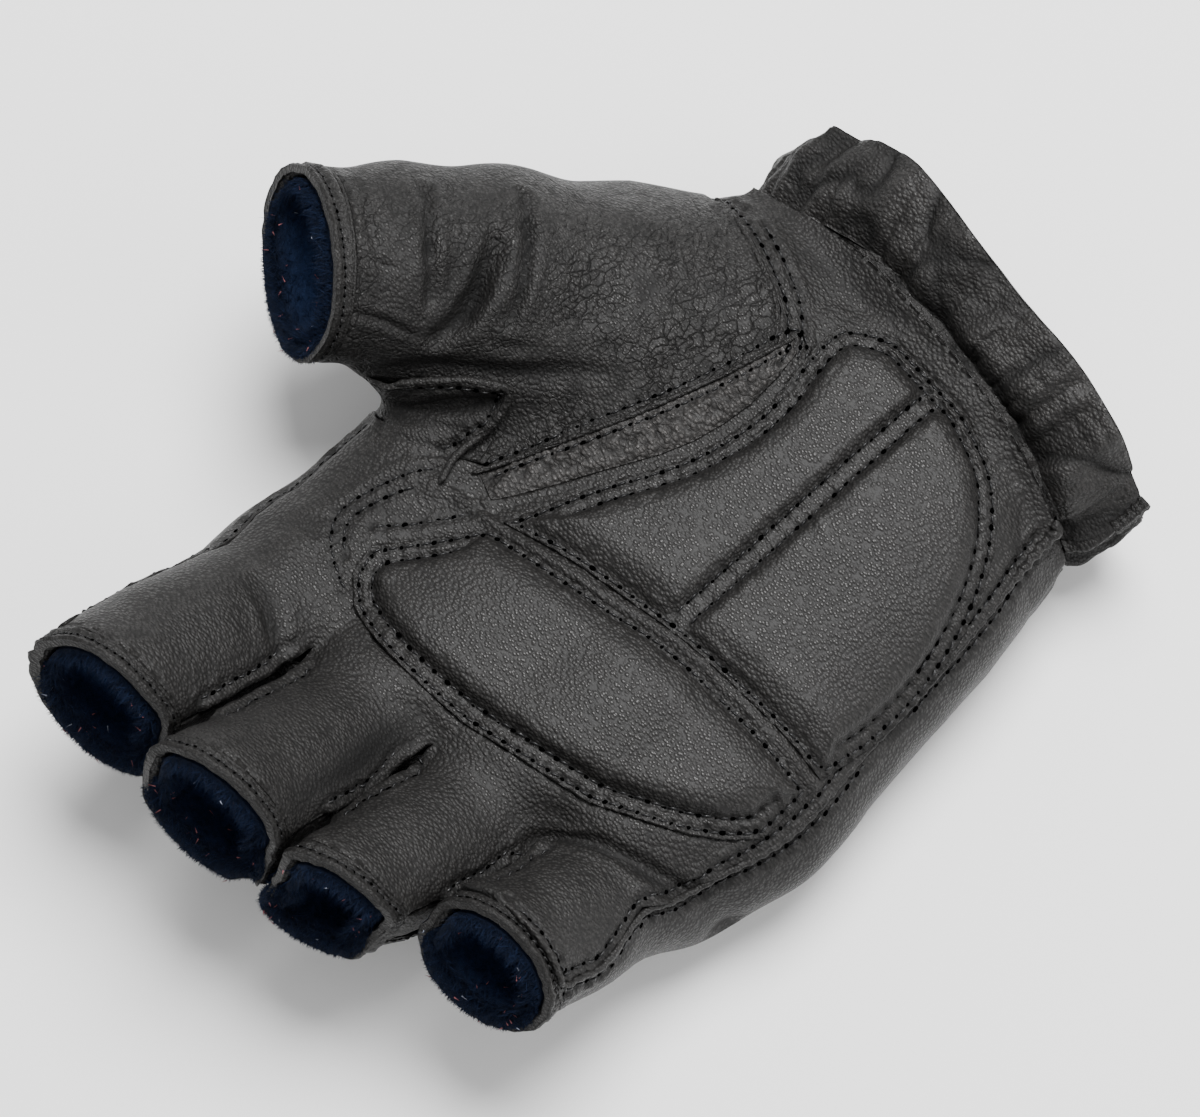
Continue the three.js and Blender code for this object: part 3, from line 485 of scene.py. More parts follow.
def elastic_bow(x):
    return ELASTIC_BOW * np.minimum(1, ((x - WRIST_MIDDLE) / ELASTIC_HALF_WIDTH) ** 2)


def ruffle(base):
    """The large waves round the cuff."""
    x, y, z = base.T
    middle = MID_HEIGHT(y)
    angle = np.arctan2((z - middle) / middle, (x - WRIST_MIDDLE) / CUFF_HALF_WIDTH)
    wave = sum(depth * np.cos(folds * angle + phase) for folds, phase, depth in RUFFLES)
    start = ELASTIC_Y + elastic_bow(x)
    end = CUFF_MOUTH + CUFF_MOUTH_BOW * (x - WRIST_MIDDLE) ** 2
    share = np.clip((y - start) / (end - start), 0, 1)
    return wave * mix(RUFFLE_AT_ELASTIC, 1, share) * np.clip(z / RUFFLE_STEADY_BELOW, 0, 1)


def nearest(places, queries):
    """For each query the index of the nearest place, and how far it is."""
    tree = KDTree(len(places))
    for i, p in enumerate(places):
        tree.insert(p, i)
    tree.balance()
    found = [tree.find(q) for q in queries]
    return np.array([f[1] for f in found]), np.array([f[2] for f in found])


def smoothed(values, closed, passes):
    for _ in range(passes):
        if closed:
            values = (np.roll(values, 1, axis=0) + 2 * values + np.roll(values, -1, axis=0)) / 4
        else:
            middle = (values[:-2] + 2 * values[1:-1] + values[2:]) / 4
            values = np.concatenate([values[:1], middle, values[-1:]])
    return values


class Dense:
    """One solid of the glove, with its faces split finely and laid back on the smooth skin."""

    def __init__(self, node):
        self.name, fineness, _ = PIECES[node]
        corners, faces = welded(node)
        base, normals = settle(corners, 5)
        height = np.einsum("ij,ij->i", corners - base, normals)
        if node == "cuff":
            height -= ruffle(base)
        is_outer = height > (PAD_OUTER_ABOVE if node in PADS else (height.min() + height.max()) / 2)
        self.find_rims(corners, is_outer, faces)
        values, self.triangles = split(
            np.column_stack([corners, height, is_outer]), faces, fineness)
        self.height, self.outer = values[:, 3], values[:, 4]
        self.base, self.normals = settle(values[:, :3])
        self.low = height.min()
        if node == "cuff":
            self.height = self.height + ruffle(self.base)

    def find_rims(self, corners, is_outer, faces):
        """The edges of the outer side, as lines on the skin."""
        outer_face = is_outer[faces].all(axis=1)
        seen = {}
        for f in np.nonzero(outer_face)[0]:
            for a, b in ((0, 1), (1, 2), (2, 0)):
                seen[faces[f, a], faces[f, b]] = f
        free = {a: (b, f) for (a, b), f in seen.items() if (b, a) not in seen}
        self.rims = []
        while free:
            start = next(iter(free))
            ring, owners, at = [], [], start
            while at in free:
                ring.append(at)
                at, owner = free.pop(at)
                owners.append(owner)
            points = corners[ring]
            closed_points = np.concatenate([points, points[:1]])
            centres = corners[faces[owners]].mean(axis=1)
            steps = 8
            t = np.arange(steps) / steps
            fine = (closed_points[:-1, None] * (1 - t)[None, :, None]
                    + closed_points[1:, None] * t[None, :, None]).reshape(-1, 3)
            towards = np.repeat(centres, steps, axis=0)
            fine = smoothed(fine, True, 6)
            fine, normals = settle(fine, 4)
            along = unit(smoothed(np.roll(fine, -1, axis=0) - np.roll(fine, 1, axis=0), True, 3))
            across = unit(np.cross(normals, along))
            sign = np.sign(np.einsum("ij,ij->i", across, towards - fine).mean())
            self.rims.append(Line(fine, normals, across * sign, True))

    def rim_distance(self):
        return nearest(np.concatenate([r.points for r in self.rims]), self.base)[1]

    def raised(self, height):
        return self.base + self.normals * height[:, None]


def mouth_frame(name):
    """The way out of an opening, and two ways across it."""
    normal = unit(MOUTH_NORMAL[name])
    side = unit(np.array((1.0, 0, 0)) - normal[0] * normal)
    return normal, side, np.cross(side, normal)


def eased(points):
    """Places after the small shifts of the regions that they lie in."""
    shift = np.zeros_like(points)
    for x, y, z, right, up, reach in REGION_SHIFTS:
        share = bell(np.linalg.norm(points - (x, y, z), axis=1), reach)
        shift += share[:, None] * (right * SEEN_RIGHT + up * SEEN_UP)
    for name, (right, up, degrees) in MOUTH_SHIFTS.items():
        normal, side, across = mouth_frame(name)
        q = points - np.array(SLEEVES[name][-1][:3])
        u, v = q @ side, q @ across
        away = np.hypot(u, v)
        share = np.clip(0.35 + 0.65 * np.cos(np.arctan2(v, u) - math.radians(degrees)), -0.3, 1)
        # fades out inwards along the sleeve, at its middle and outside its wall
        depth = np.clip(1 + (q @ normal) / MOUTH_SHIFT_DEPTH, 0, 1)
        share *= depth ** 2 * (3 - 2 * depth)
        share *= np.clip(away / 6, 0, 1) * np.clip((19 - away) / 5, 0, 1)
        shift += share[:, None] * (right * SEEN_RIGHT + up * SEEN_UP)
    moved = points + shift
    moved[:, 2] = np.maximum(moved[:, 2], np.minimum(points[:, 2], 0))
    return moved


def add_piece(name, points, triangles, values, material, slot, *nodes, smooth=True):
    """A visible piece, from places in millimetres and values per point for its material.

    It rides on the glove and stands in place of the solids whose nodes are named."""
    points = eased(np.asarray(points, float))
    mesh = bpy.data.meshes.new(name)
    mesh.vertices.add(len(points))
    mesh.vertices.foreach_set("co", to_frame(points).astype(np.float32).ravel())
    mesh.loops.add(len(triangles) * 3)
    mesh.loops.foreach_set("vertex_index", triangles.astype(np.int32).ravel())
    mesh.polygons.add(len(triangles))
    mesh.polygons.foreach_set("loop_start", np.arange(0, len(triangles) * 3, 3, dtype=np.int32))
    mesh.polygons.foreach_set("use_smooth", np.full(len(triangles), smooth))
    mesh.update()
    mesh.validate()
    for key, value in values.items():
        attribute = mesh.attributes.new(key, "FLOAT", "POINT")
        attribute.data.foreach_set("value", np.asarray(value, np.float32))
    mesh.materials.append(material)
    thing = bpy.data.objects.new(name, mesh)
    bpy.context.scene.collection.objects.link(thing)
    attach(thing, "root")
    if nodes:
        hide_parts(*nodes)
    return thing


# Materials

PINK = (0.32, 0.12, 0.13, 1)
PALE_BLUE = (0.30, 0.33, 0.42, 1)


class Tree:
    """Short ways to add and join the nodes of a material or a group."""

    def __init__(self, tree):
        self.tree = tree

    def add(self, kind, values=None, **settings):
        node = self.tree.nodes.new(kind)
        for key, value in settings.items():
            setattr(node, key, value)
        for key, value in (values or {}).items():
            if isinstance(value, bpy.types.NodeSocket):
                self.tree.links.new(value, node.inputs[key])
            else:
                node.inputs[key].default_value = value
        return node

    def math(self, operation, *values, clamp=False):
        node = self.add("ShaderNodeMath", dict(enumerate(values)), operation=operation,
                        use_clamp=clamp)
        return node.outputs[0]

    def blend(self, factor, a, b):
        node = self.add("ShaderNodeMix", {0: factor, 6: a, 7: b}, data_type="RGBA")
        return node.outputs[2]

    def ramp(self, value, stops):
        node = self.add("ShaderNodeValToRGB", {0: value})
        elements = node.color_ramp.elements
        while len(elements) < len(stops):
            elements.new(0.5)
        for element, (position, level) in zip(elements, stops):
            element.position = position
            element.color = (level, level, level, 1)
        return node.outputs[0]

    def link(self, value, socket):
        self.tree.links.new(value, socket)

    def noise(self, place, scale, detail):
        return self.add("ShaderNodeTexNoise", {"Vector": place, "Scale": scale, "Detail": detail})

    def vector(self, operation, a, b):
        values = {0: a, "Scale" if operation == "SCALE" else 1: b}
        return self.add("ShaderNodeVectorMath", values, operation=operation).outputs[0]

    def raise_surface(self, shader, height, strength, distance):
        bump = self.add("ShaderNodeBump", {
            "Height": height, "Strength": strength, "Distance": distance * MM})
        self.link(bump.outputs["Normal"], shader.inputs["Normal"])

    def attribute(self, name):
        return self.add("ShaderNodeAttribute", attribute_name=name).outputs["Fac"]


def new_group(name, inputs, outputs):
    group = bpy.data.node_groups.new(name, "ShaderNodeTree")
    for key, default in inputs:
        socket = group.interface.new_socket(name=key, in_out="INPUT", socket_type="NodeSocketFloat")
        socket.default_value = default
    for key in outputs:
        group.interface.new_socket(name=key, in_out="OUTPUT", socket_type="NodeSocketFloat")
    tree = Tree(group)
    return group, tree, tree.add("NodeGroupInput").outputs, tree.add("NodeGroupOutput").inputs


def new_material(name):
    """A new material, with its tree and its shader."""
    material = bpy.data.materials.new(name)
    material.use_nodes = True
    return material, Tree(material.node_tree), material.node_tree.nodes["Principled BSDF"]


def tinted(colour, share):
    """A colour made darker or paler, with its alpha."""
    return (*[min(1, c * share) for c in colour], 1)


def place_in_mm(tree):
    where = tree.add("ShaderNodeTexCoord").outputs["Object"]
    return tree.vector("SCALE", where, 1 / MM)


def grain_group():
    """Leather grain: rounded pebbles between a net of fine valleys, over soft unevenness."""
    name = "Leather grain"
    if name in bpy.data.node_groups:
        return bpy.data.node_groups[name]
    group, tree, given, out = new_group(
        name, [("Pebble Size", 1.0), ("Irregularity", 0.5), ("Pores", 0.4)],
        ["Height", "Crest", "Tone"])
    place = place_in_mm(tree)
    centred = tree.vector("SUBTRACT", tree.noise(place, 0.9, 2.0).outputs["Color"], (0.5, 0.5, 0.5))
    amount = tree.math("MULTIPLY", given["Irregularity"], given["Pebble Size"])
    warped = tree.vector("ADD", place, tree.vector("SCALE", centred, amount))
    frequency = tree.math("DIVIDE", 1.0, given["Pebble Size"])
    squeezed = tree.vector("MULTIPLY", warped, (0.78, 1.12, 1.0))
    cells = tree.add("ShaderNodeTexVoronoi", {
        "Vector": squeezed, "Scale": frequency, "Randomness": 0.9}, feature="F1")
    from_tip = cells.outputs["Distance"]
    pebble = tree.ramp(from_tip, [(0.0, 1.0), (0.3, 0.8), (0.5, 0.35), (0.75, 0.0)])
    tip = tree.ramp(from_tip, [(0.0, 1.0), (0.16, 0.8), (0.4, 0.0)])
    fine = tree.noise(place, tree.math("MULTIPLY", frequency, 3.6), 3.0)
    uneven = tree.noise(place, 0.22, 3.0)
    pores = tree.math("MULTIPLY", tree.math("SUBTRACT", fine.outputs["Fac"], 0.5), given["Pores"])
    height = tree.math("MULTIPLY_ADD", uneven.outputs["Fac"], 0.3, tree.math("ADD", pebble, pores))
    for value, key in ((height, "Height"), (tip, "Crest"), (uneven.outputs["Fac"], "Tone")):
        tree.link(value, out[key])
    return group


def crease_group():
    """Fine dry creases in worn leather, as depth from 0 to 1."""
    name = "Fine creases"
    if name in bpy.data.node_groups:
        return bpy.data.node_groups[name]
    group, tree, given, out = new_group(name, [("Spacing", 3.0), ("Stretch", 1.0)], ["Depth"])
    place = place_in_mm(tree)
    shift = tree.vector("SCALE", tree.noise(place, 0.35, 2.0).outputs["Color"], 3.2)
    squeeze = tree.add("ShaderNodeCombineXYZ", {"X": 1.0, "Y": given["Stretch"], "Z": 1.0})
    pulled = tree.vector("MULTIPLY", tree.vector("ADD", place, shift), squeeze.outputs[0])
    frequency = tree.math("DIVIDE", 1.0, given["Spacing"])
    cells = tree.add("ShaderNodeTexVoronoi", {"Vector": pulled, "Scale": frequency},
                     feature="DISTANCE_TO_EDGE")
    depth = tree.ramp(cells.outputs["Distance"], [(0.0, 1.0), (0.05, 0.35), (0.16, 0.0)])
    where = tree.ramp(tree.noise(place, 0.09, 1.0).outputs["Fac"], [(0.35, 0.15), (0.65, 1.0)])
    tree.link(tree.math("MULTIPLY", depth, where), out["Depth"])
    return group


def leather_material(leather, name, tone=1.0, rougher=0.0, pebble=1.0, depth=1.0, crease=0.0,
                     spacing=3.0, stretch=1.0, irregular=0.5, pores=0.4):
    """A leather with its own grain and creases, with painted highlights on its crests and painted
    shade in its grain's valleys, stitched grooves and creases.

    Tone, pebble and depth are shares of the hand leather's colour, grain size and grain depth."""
    colour = [c * tone for c in leather.colour]
    material, tree, shader = new_material(name)
    grain = tree.add("ShaderNodeGroup", node_tree=grain_group())
    for key, value in (("Pebble Size", leather.pebble * pebble), ("Irregularity", irregular),
                       ("Pores", pores)):
        grain.inputs[key].default_value = value
    groove = tree.attribute("groove")
    pale = tinted(colour, 2.8)
    toned = tree.blend(tree.math("MULTIPLY", grain.outputs["Tone"], 0.6), tinted(colour, 0.5), pale)
    toned = tree.blend(0.5, toned, tinted(colour, 1))
    # painted highlight: the grain's crests, and the raised parts of a piece, made paler
    raised = tree.math("MULTIPLY", grain.outputs["Crest"], tree.attribute("crest"), clamp=True)
    toned = tree.blend(tree.math("MULTIPLY", raised, 0.95, clamp=True), toned, pale)
    deep = tree.math("MULTIPLY", grain.outputs["Height"], 1.3)
    # painted shade: the low parts of the grain made darker
    valley_shade = tree.math("SUBTRACT", 0.75, deep, clamp=True)
    toned = tree.blend(valley_shade, toned, tinted(colour, 0.25))
    # painted shade: stitched grooves and creases made darker
    toned = tree.blend(groove, toned, tinted(colour, 0.08))
    tree.link(toned, shader.inputs["Base Color"])
    height = grain.outputs["Height"]
    if crease:
        net = tree.add("ShaderNodeGroup", node_tree=crease_group())
        net.inputs["Spacing"].default_value = spacing
        net.inputs["Stretch"].default_value = stretch
        height = tree.math("SUBTRACT", height, tree.math("MULTIPLY", net.outputs["Depth"], crease))
    polished = tree.math("MULTIPLY", grain.outputs["Crest"], 0.26)
    rough = tree.math("SUBTRACT", leather.roughness + rougher + 0.1, polished)
    rough = tree.math("ADD", rough, tree.math("MULTIPLY", groove, 0.3), clamp=True)
    tree.link(rough, shader.inputs["Roughness"])
    tree.raise_surface(shader, height, 1.0, leather.grain_depth * depth)
    shader.inputs["Specular IOR Level"].default_value = 0.25
    return material


def thread_material(name, colour, roughness, sheen):
    """Waxed black thread, with its twist as fine ridges, or the painted shade of a needle hole."""
    material, tree, shader = new_material(name)
    twist = tree.noise(place_in_mm(tree), 4.5, 2.0).outputs["Fac"]
    toned = tree.blend(twist, tinted(colour, 0.5), tinted(colour, 1.8))
    tree.link(toned, shader.inputs["Base Color"])
    tree.link(tree.math("MULTIPLY_ADD", twist, 0.3, roughness - 0.15), shader.inputs["Roughness"])
    tree.raise_surface(shader, twist, 0.8, 0.08)
    shader.inputs["Specular IOR Level"].default_value = sheen
    return material


def fleece_material(name, colour):
    """Brushed navy pile, matted in tufts, with painted light that makes it paler deep inside an
    opening. Fleck tints a few fibres.
    """
    material, tree, shader = new_material(name)
    place = place_in_mm(tree)
    tufts = tree.noise(place, 0.8, 4.0).outputs["Fac"]
    hairs = tree.noise(place, 5.0, 4.0).outputs["Fac"]
    toned = tree.blend(tufts, tinted(colour, 0.35), tinted(colour, 1.9))
    # painted light: a paler navy for deep inside an opening, in place of the light that the hollow
    # lacks
    painted_deep_light = tree.blend(tufts, tinted(colour, 3.5), tinted(colour, 9.0))
    toned = tree.blend(tree.attribute("deep"), toned, painted_deep_light)
    fleck = tree.attribute("fleck")
    toned = tree.blend(tree.math("GREATER_THAN", fleck, 0.4), toned, PINK)
    toned = tree.blend(tree.math("GREATER_THAN", fleck, 0.9), toned, PALE_BLUE)
    tree.link(toned, shader.inputs["Base Color"])
    tree.link(tree.math("MULTIPLY_ADD", hairs, 0.2, 0.8), shader.inputs["Roughness"])
    shader.inputs["Specular IOR Level"].default_value = 0.15
    tree.raise_surface(shader, tree.math("ADD", tufts, hairs), 1.0, 0.6)
    return material


def floor_material(colour):
    """Matt paper, very slightly uneven."""
    material, tree, shader = new_material("Pale paper")
    fibres = tree.noise(place_in_mm(tree), 0.02, 2.0).outputs["Fac"]
    toned = tree.blend(fibres, tinted(colour, 0.99), tinted(colour, 1))
    tree.link(toned, shader.inputs["Base Color"])
    shader.inputs["Roughness"].default_value = 0.9
    shader.inputs["Specular IOR Level"].default_value = 0.1
    return material


# Settings that a user would change

class LeatherSettings(bpy.types.PropertyGroup):
    colour: FloatVectorProperty(
        name="Leather colour", description="Colour of the hand leather", subtype="COLOR",
        size=3, min=0, max=1, default=(0.0088, 0.0083, 0.0080))
    roughness: FloatProperty(
        name="Roughness", description="How matt the leather is", min=0, max=1, default=0.46)
    pebble: FloatProperty(
        name="Grain size", description="Width of one pebble of the grain, in millimetres",
        min=0.2, max=4, default=0.64)
    grain_depth: FloatProperty(
        name="Grain depth", description="Depth of the grain, in millimetres",
        min=0, max=1, default=0.15)
    wrinkle: FloatProperty(
        name="Wrinkles", description="Depth of the soft wrinkles, in millimetres",
        min=0, max=3, default=0.45)
    edge_round: FloatProperty(
        name="Edge rounding", description="Radius of a cut edge, in millimetres",
        min=0, max=1, default=0.55)


class PadSettings(bpy.types.PropertyGroup):
    rise: FloatProperty(
        name="Pad height", description="How far the padding lifts the leather, in millimetres",
        min=0, max=5, default=2.7)
    slope_width: FloatProperty(
        name="Slope width", description="Width of the slope round the padding, in millimetres",
        min=1, max=10, default=4.0)
    flat: FloatProperty(
        name="Flat edge", description="Stitched flat edge round the slope, in millimetres",
        min=0, max=5, default=3.2)
    margin: FloatProperty(
        name="Margin thickness", description="Thickness of the stitched edge, in millimetres",
        min=0.3, max=2, default=0.8)
    fill: FloatProperty(
        name="Fill", description="How full the padding is", min=0, max=1, default=0.45)
    channel_depth: FloatProperty(
        name="Channel depth", description="Depth of the sewn channel as a share of the pad height",
        min=0, max=1, default=0.85)
    channel_width: FloatProperty(
        name="Channel width", description="Width of the sewn channel, in millimetres",
        min=0.5, max=8, default=2.6)


class StitchSettings(bpy.types.PropertyGroup):
    pitch: FloatProperty(
        name="Stitch length", description="From one needle hole to the next, in millimetres",
        min=1, max=6, default=2.8)
    thickness: FloatProperty(
        name="Thread thickness", description="Thickness of the thread, in millimetres",
        min=0.1, max=1.5, default=0.45)
    sink: FloatProperty(
        name="Groove depth",
        description="How deep a row of stitches draws the leather in, in millimetres",
        min=0, max=2, default=0.42)
    hole: FloatProperty(
        name="Needle hole", description="Width of a needle hole, in millimetres",
        min=0.2, max=2, default=0.92)
    colour: FloatVectorProperty(
        name="Thread colour", description="Colour of the thread", subtype="COLOR",
        size=3, min=0, max=1, default=(0.005, 0.005, 0.0055))


class FleeceSettings(bpy.types.PropertyGroup):
    colour: FloatVectorProperty(
        name="Fleece colour", description="Colour of the lining", subtype="COLOR",
        size=3, min=0, max=1, default=(0.0036, 0.0072, 0.0195))
    fibres: IntProperty(
        name="Fibres", description="Loose fibres at each opening, on the edge and again inside",
        min=0, max=9000, default=3800)
    fibre_length: FloatProperty(
        name="Fibre length", description="Length of a loose fibre, in millimetres",
        min=0.5, max=8, default=2.4)
    fleck_share: FloatProperty(
        name="Flecks", description="Share of fibres that are pink or white",
        min=0, max=1, default=0.006)


class StageSettings(bpy.types.PropertyGroup):
    floor_colour: FloatVectorProperty(
        name="Floor colour", description="Colour of the floor", subtype="COLOR",
        size=3, min=0, max=1, default=(0.92, 0.92, 0.92))
    key_power: FloatProperty(
        name="Main light", description="Power of the main light", unit="POWER", min=0, default=23.0)
    fill_power: FloatProperty(
        name="Fill light", description="Power of the fill light", unit="POWER", min=0, default=4.0)
    sky: FloatProperty(
        name="Surrounding light", description="Brightness of the surroundings", min=0, default=0.62)


SHARED = {"rows": [], "surfaces": {}, "dense": {}}


def dense(node):
    if node not in SHARED["dense"]:
        SHARED["dense"][node] = Dense(node)
    return SHARED["dense"][node]


def near_webs(points, reach):
    """Which places lie beside the gap between two fingers, clear of the turned edges."""
    x, y = points[:, 0], points[:, 1]
    beside = np.zeros(len(points), bool)
    for web_x, web_y, lean in WEBS:
        along = (y > web_y - 4) & (y < web_y + 16)
        beside |= along & (np.abs(x - web_x - lean * (y - web_y)) < reach)
    return beside


def sew(node, lines):
    """Keeps rows of stitches for the sewing, and returns them."""
    for line in lines:
        SHARED["rows"].append((node, line))
    return lines


def row_effects(lines, base, stitches):
    """How deep rows of stitches draw the leather in, and the shade painted along them, darkest at
    the needle holes.
    """
    if not lines:
        return np.zeros(len(base)), np.zeros(len(base))
    places = np.concatenate([line.points for line in lines])
    arcs = np.concatenate([line.arc / line.fineness for line in lines])
    which, away = nearest(places, base)
    beat = 0.5 + 0.5 * np.cos(2 * math.pi * arcs[which] / stitches.pitch)
    pucker = noise(base, 1.7, 12) * bell(away - 1.3, 0.9)
    sink = (stitches.sink * bell(away, 0.95) * (0.3 + 0.9 * beat ** 2) - 0.34 * pucker
            - 0.28 * bell(away - 1.35, 0.8))
    return sink, np.clip(bell(away, 0.6) * (0.1 + 0.75 * beat ** 3), 0, 1)


def soft_wrinkles(base, seed):
    """Broad shallow unevenness of worn leather, in shares of the wrinkle depth."""
    broad = noise(base, 17, seed) * 0.9 + noise(base, 8, seed + 1) * 0.5
    broad += noise(base, 3.6, seed + 2) * 0.16
    return broad - 0.4 * creases(base, 11, seed + 5, 1.6)


def rounding(away, radius):
    """How far a rounded edge falls away from the surface, at these distances from the rim."""
    return radius - np.sqrt(np.maximum(radius ** 2 - np.maximum(radius - away, 0) ** 2, 0))


def finish_wall(piece, lift, lines, scene, painted_extra_shade):
    """Lays a wall on the skin: its own height, plus lift, rounded edges and stitched grooves. Also
    returns the painted shade along its rows and creases.
    """
    sink, groove = row_effects(lines, piece.base, scene.glove_stitches)
    sides = np.where(piece.outer > SURE, 1, np.where(piece.outer < 1 - SURE, -1, 0))
    round_off = rounding(piece.rim_distance(), scene.glove_leather.edge_round)
    height = piece.height + lift - sink - round_off * sides
    points = piece.raised(height)
    points[:, 2] = np.maximum(points[:, 2], 0)
    return points, height, np.clip(groove + painted_extra_shade, 0, 1)


def store_surface(node, piece, height):
    """Keeps the finished outer side, so that stitches can be laid on it."""
    outer = piece.outer > SURE
    SHARED["surfaces"][node] = (piece.base[outer], height[outer])


def build_wall(node, material, slot, lift, lines, scene, crest=0.55, painted_extra_shade=0.0):
    piece = dense(node)
    points, height, groove = finish_wall(piece, lift, lines, scene, painted_extra_shade)
    store_surface(node, piece, height)
    # painted highlight: stronger where the wall is lifted
    level = np.clip(crest + 0.3 * lift, 0.25, 1) * np.ones(len(points))
    add_piece(piece.name, points, piece.triangles, {"crest": level, "groove": groove},
              material, slot, node)


def is_within(points, ring):
    """Which places, as x, y, lie inside a closed ring."""
    x, y = points[:, 0], points[:, 1]
    inside = np.zeros(len(points), bool)
    for (x0, y0), (x1, y1) in zip(ring, np.roll(ring, -1, axis=0)):
        if y0 != y1:
            crossing = (y0 > y) != (y1 > y)
            inside ^= crossing & (x < (x1 - x0) * (y - y0) / (y1 - y0) + x0)
    return inside


def patch_seat(base, nodes, under, beside, reach):
    """How the leather below swells beside patches, and stays low under them."""
    lift = np.zeros(len(base))
    for ring in (dense(node).rims[0].points[:, :2] for node in nodes):
        near = np.nonzero(np.all((base[:, :2] > ring.min(axis=0) - 3 * reach)
                                 & (base[:, :2] < ring.max(axis=0) + 3 * reach), axis=1)
                          & on_palm_side(base))[0]
        flat = base[near] * (1, 1, 0)
        _, away = nearest(np.column_stack([ring, np.zeros(len(ring))]), flat)
        inside = is_within(flat, ring)
        rise = np.where(inside, mix(min(beside, 0.6), under, np.clip(away / 1.2, 0, 1)),
                        beside * bell(away, reach))
        lift[near] = np.maximum(lift[near], rise)
    return lift


def drawn_lines(base, table):
    """Creases and ridges along lines: negative depths draw the leather in, and get painted shade
    along them.
    """
    total, painted_shade = np.zeros(len(base)), np.zeros(len(base))
    for places, depth, width, lip in table:
        places = np.array(places, float)
        away = np.full(len(base), FAR)
        travel = np.zeros(len(base))
        starts = arc_lengths(places)
        for k, (a, b) in enumerate(zip(places, places[1:])):
            d, t = segment(base, a, b)
            travel = np.where(d < away, mix(starts[k], starts[k + 1], t) / starts[-1], travel)
            away = np.minimum(away, d)
        wobble = away + 0.25 * width * noise(base, 2.5 * width, 7)
        fade = np.sin(math.pi * mix(0.1, 0.9, travel)) ** 0.7
        total += fade * (depth * bell(wobble, width) + lip * bell(wobble - 2 * width, width))
        # painted shade along each crease
        if depth < 0:
            painted_shade = np.maximum(painted_shade, fade * min(0.95, -0.65 * depth) * bell(wobble, 0.75 * width))
    return total, painted_shade


def along_arc(at, arc, places):
    return np.stack([np.interp(at, arc, places[:, k]) for k in range(3)], axis=1)


def resampled(places, count):
    places = np.asarray(places, float)
    arc = arc_lengths(places)
    return along_arc(np.linspace(0, arc[-1], count), arc, places)


TUBE_TAPER = 1.2        # a tube's ends round off over this length


def ring_faces(rings, sides):
    """The triangles between rings of corners that follow each other."""
    faces = []
    for i in range(rings - 1):
        for k in range(sides):
            a, b = i * sides + k, i * sides + (k + 1) % sides
            faces += [(a, b, b + sides), (a, b + sides, a + sides)]
    return faces


def repeated(faces, count, corners):
    """The triangles of many copies of a shape, whose corners follow each other."""
    return (faces[None] + np.arange(count)[:, None, None] * corners).reshape(-1, 3)


def tube(name, material, slot, path, radius, beat, pitch=2.0, sides=12, values=None):
    """A round cord along a path. Beat swells it evenly, as an overcast seam does."""
    count = len(path)
    along = unit(np.gradient(path, axis=0))
    side = unit(np.cross(along, (0.1, 0.2, 1.0)))
    up = np.cross(side, along)
    arc = arc_lengths(path)
    angles = 2 * math.pi * np.arange(sides) / sides
    sizes = np.broadcast_to(radius, (count,)).copy()
    ends = np.minimum(arc, arc[-1] - arc)
    sizes *= np.sqrt(np.clip(ends / TUBE_TAPER, 0.02, 1))
    wave = 1 + beat * np.cos(2 * math.pi * arc[:, None] / pitch + angles[None, :])
    ring = side[:, None] * np.cos(angles)[:, None] + up[:, None] * np.sin(angles)[:, None]
    points = path[:, None] + ring * (sizes[:, None] * wave)[:, :, None]
    points = np.concatenate([points.reshape(-1, 3), path[:1], path[-1:]])
    triangles = ring_faces(count, sides)
    first, last = count * sides, count * sides + 1
    for k in range(sides):
        triangles.append((first, (k + 1) % sides, k))
        triangles.append((last, (count - 1) * sides + k, (count - 1) * sides + (k + 1) % sides))
    values = values or {"crest": np.full(len(points), 0.5), "groove": np.zeros(len(points))}
    add_piece(name, points, np.array(triangles), values, material, slot)


# the seam between the two pads, as x, y
PAD_SEAM = (
    (39.0, 15.6), (36.1, 14.2), (21.8, 10.5), (5.9, 6), (-9.3, 1), (-27.6, -1.2), (-42.5, -2))


def drawn_row(places):
    """A row of stitches along places on the glove."""
    points, normals = settle(smoothed(resampled(places, 60), False, 4), 4)
    return Line(points, normals, np.zeros_like(points), False)


# rows sewn through the palm leather round the thumb side of the front pad
EXTRA_ROWS = (
    ((33.0, 38.8, 33.0), (36.1, 37.9, 33.7), (40.1, 36.2, 33.8), (43.1, 34.1, 33.4),
     (45.0, 31.6, 32.8),
     (45.6, 28.7, 32.5), (45.0, 24.0, 32.6), (43.7, 19.1, 32.7), (42.4, 15.7, 32.8),
     (40.4, 12.9, 32.5)),
    ((38.2, 34.7, 33.5), (40.7, 33.4, 33.4), (42.9, 30.8, 33.0), (43.2, 28.0, 32.9),
     (42.7, 24.5, 32.9),
     (41.6, 20.3, 32.9), (39.6, 16.5, 32.9)),
    ((39.5, 28.2, 33.0), (35.7, 22.7, 32.8), (32.8, 17.3, 32.7), (30.6, 12.2, 32.5)),
)
# the corded edge of the thumb piece along the crescent
CRESCENT_TOP = (
    (20.6, -47.4, 36.5), (22.6, -36.0, 36.4), (26.2, -22.0, 35.6), (30.0, -10.0, 34.0),
    (33.8, 1.5, 32.0),
    (36.6, 9.5, 32.2),
)
CRESCENT_END = (35.6, 9.8, 32.3)
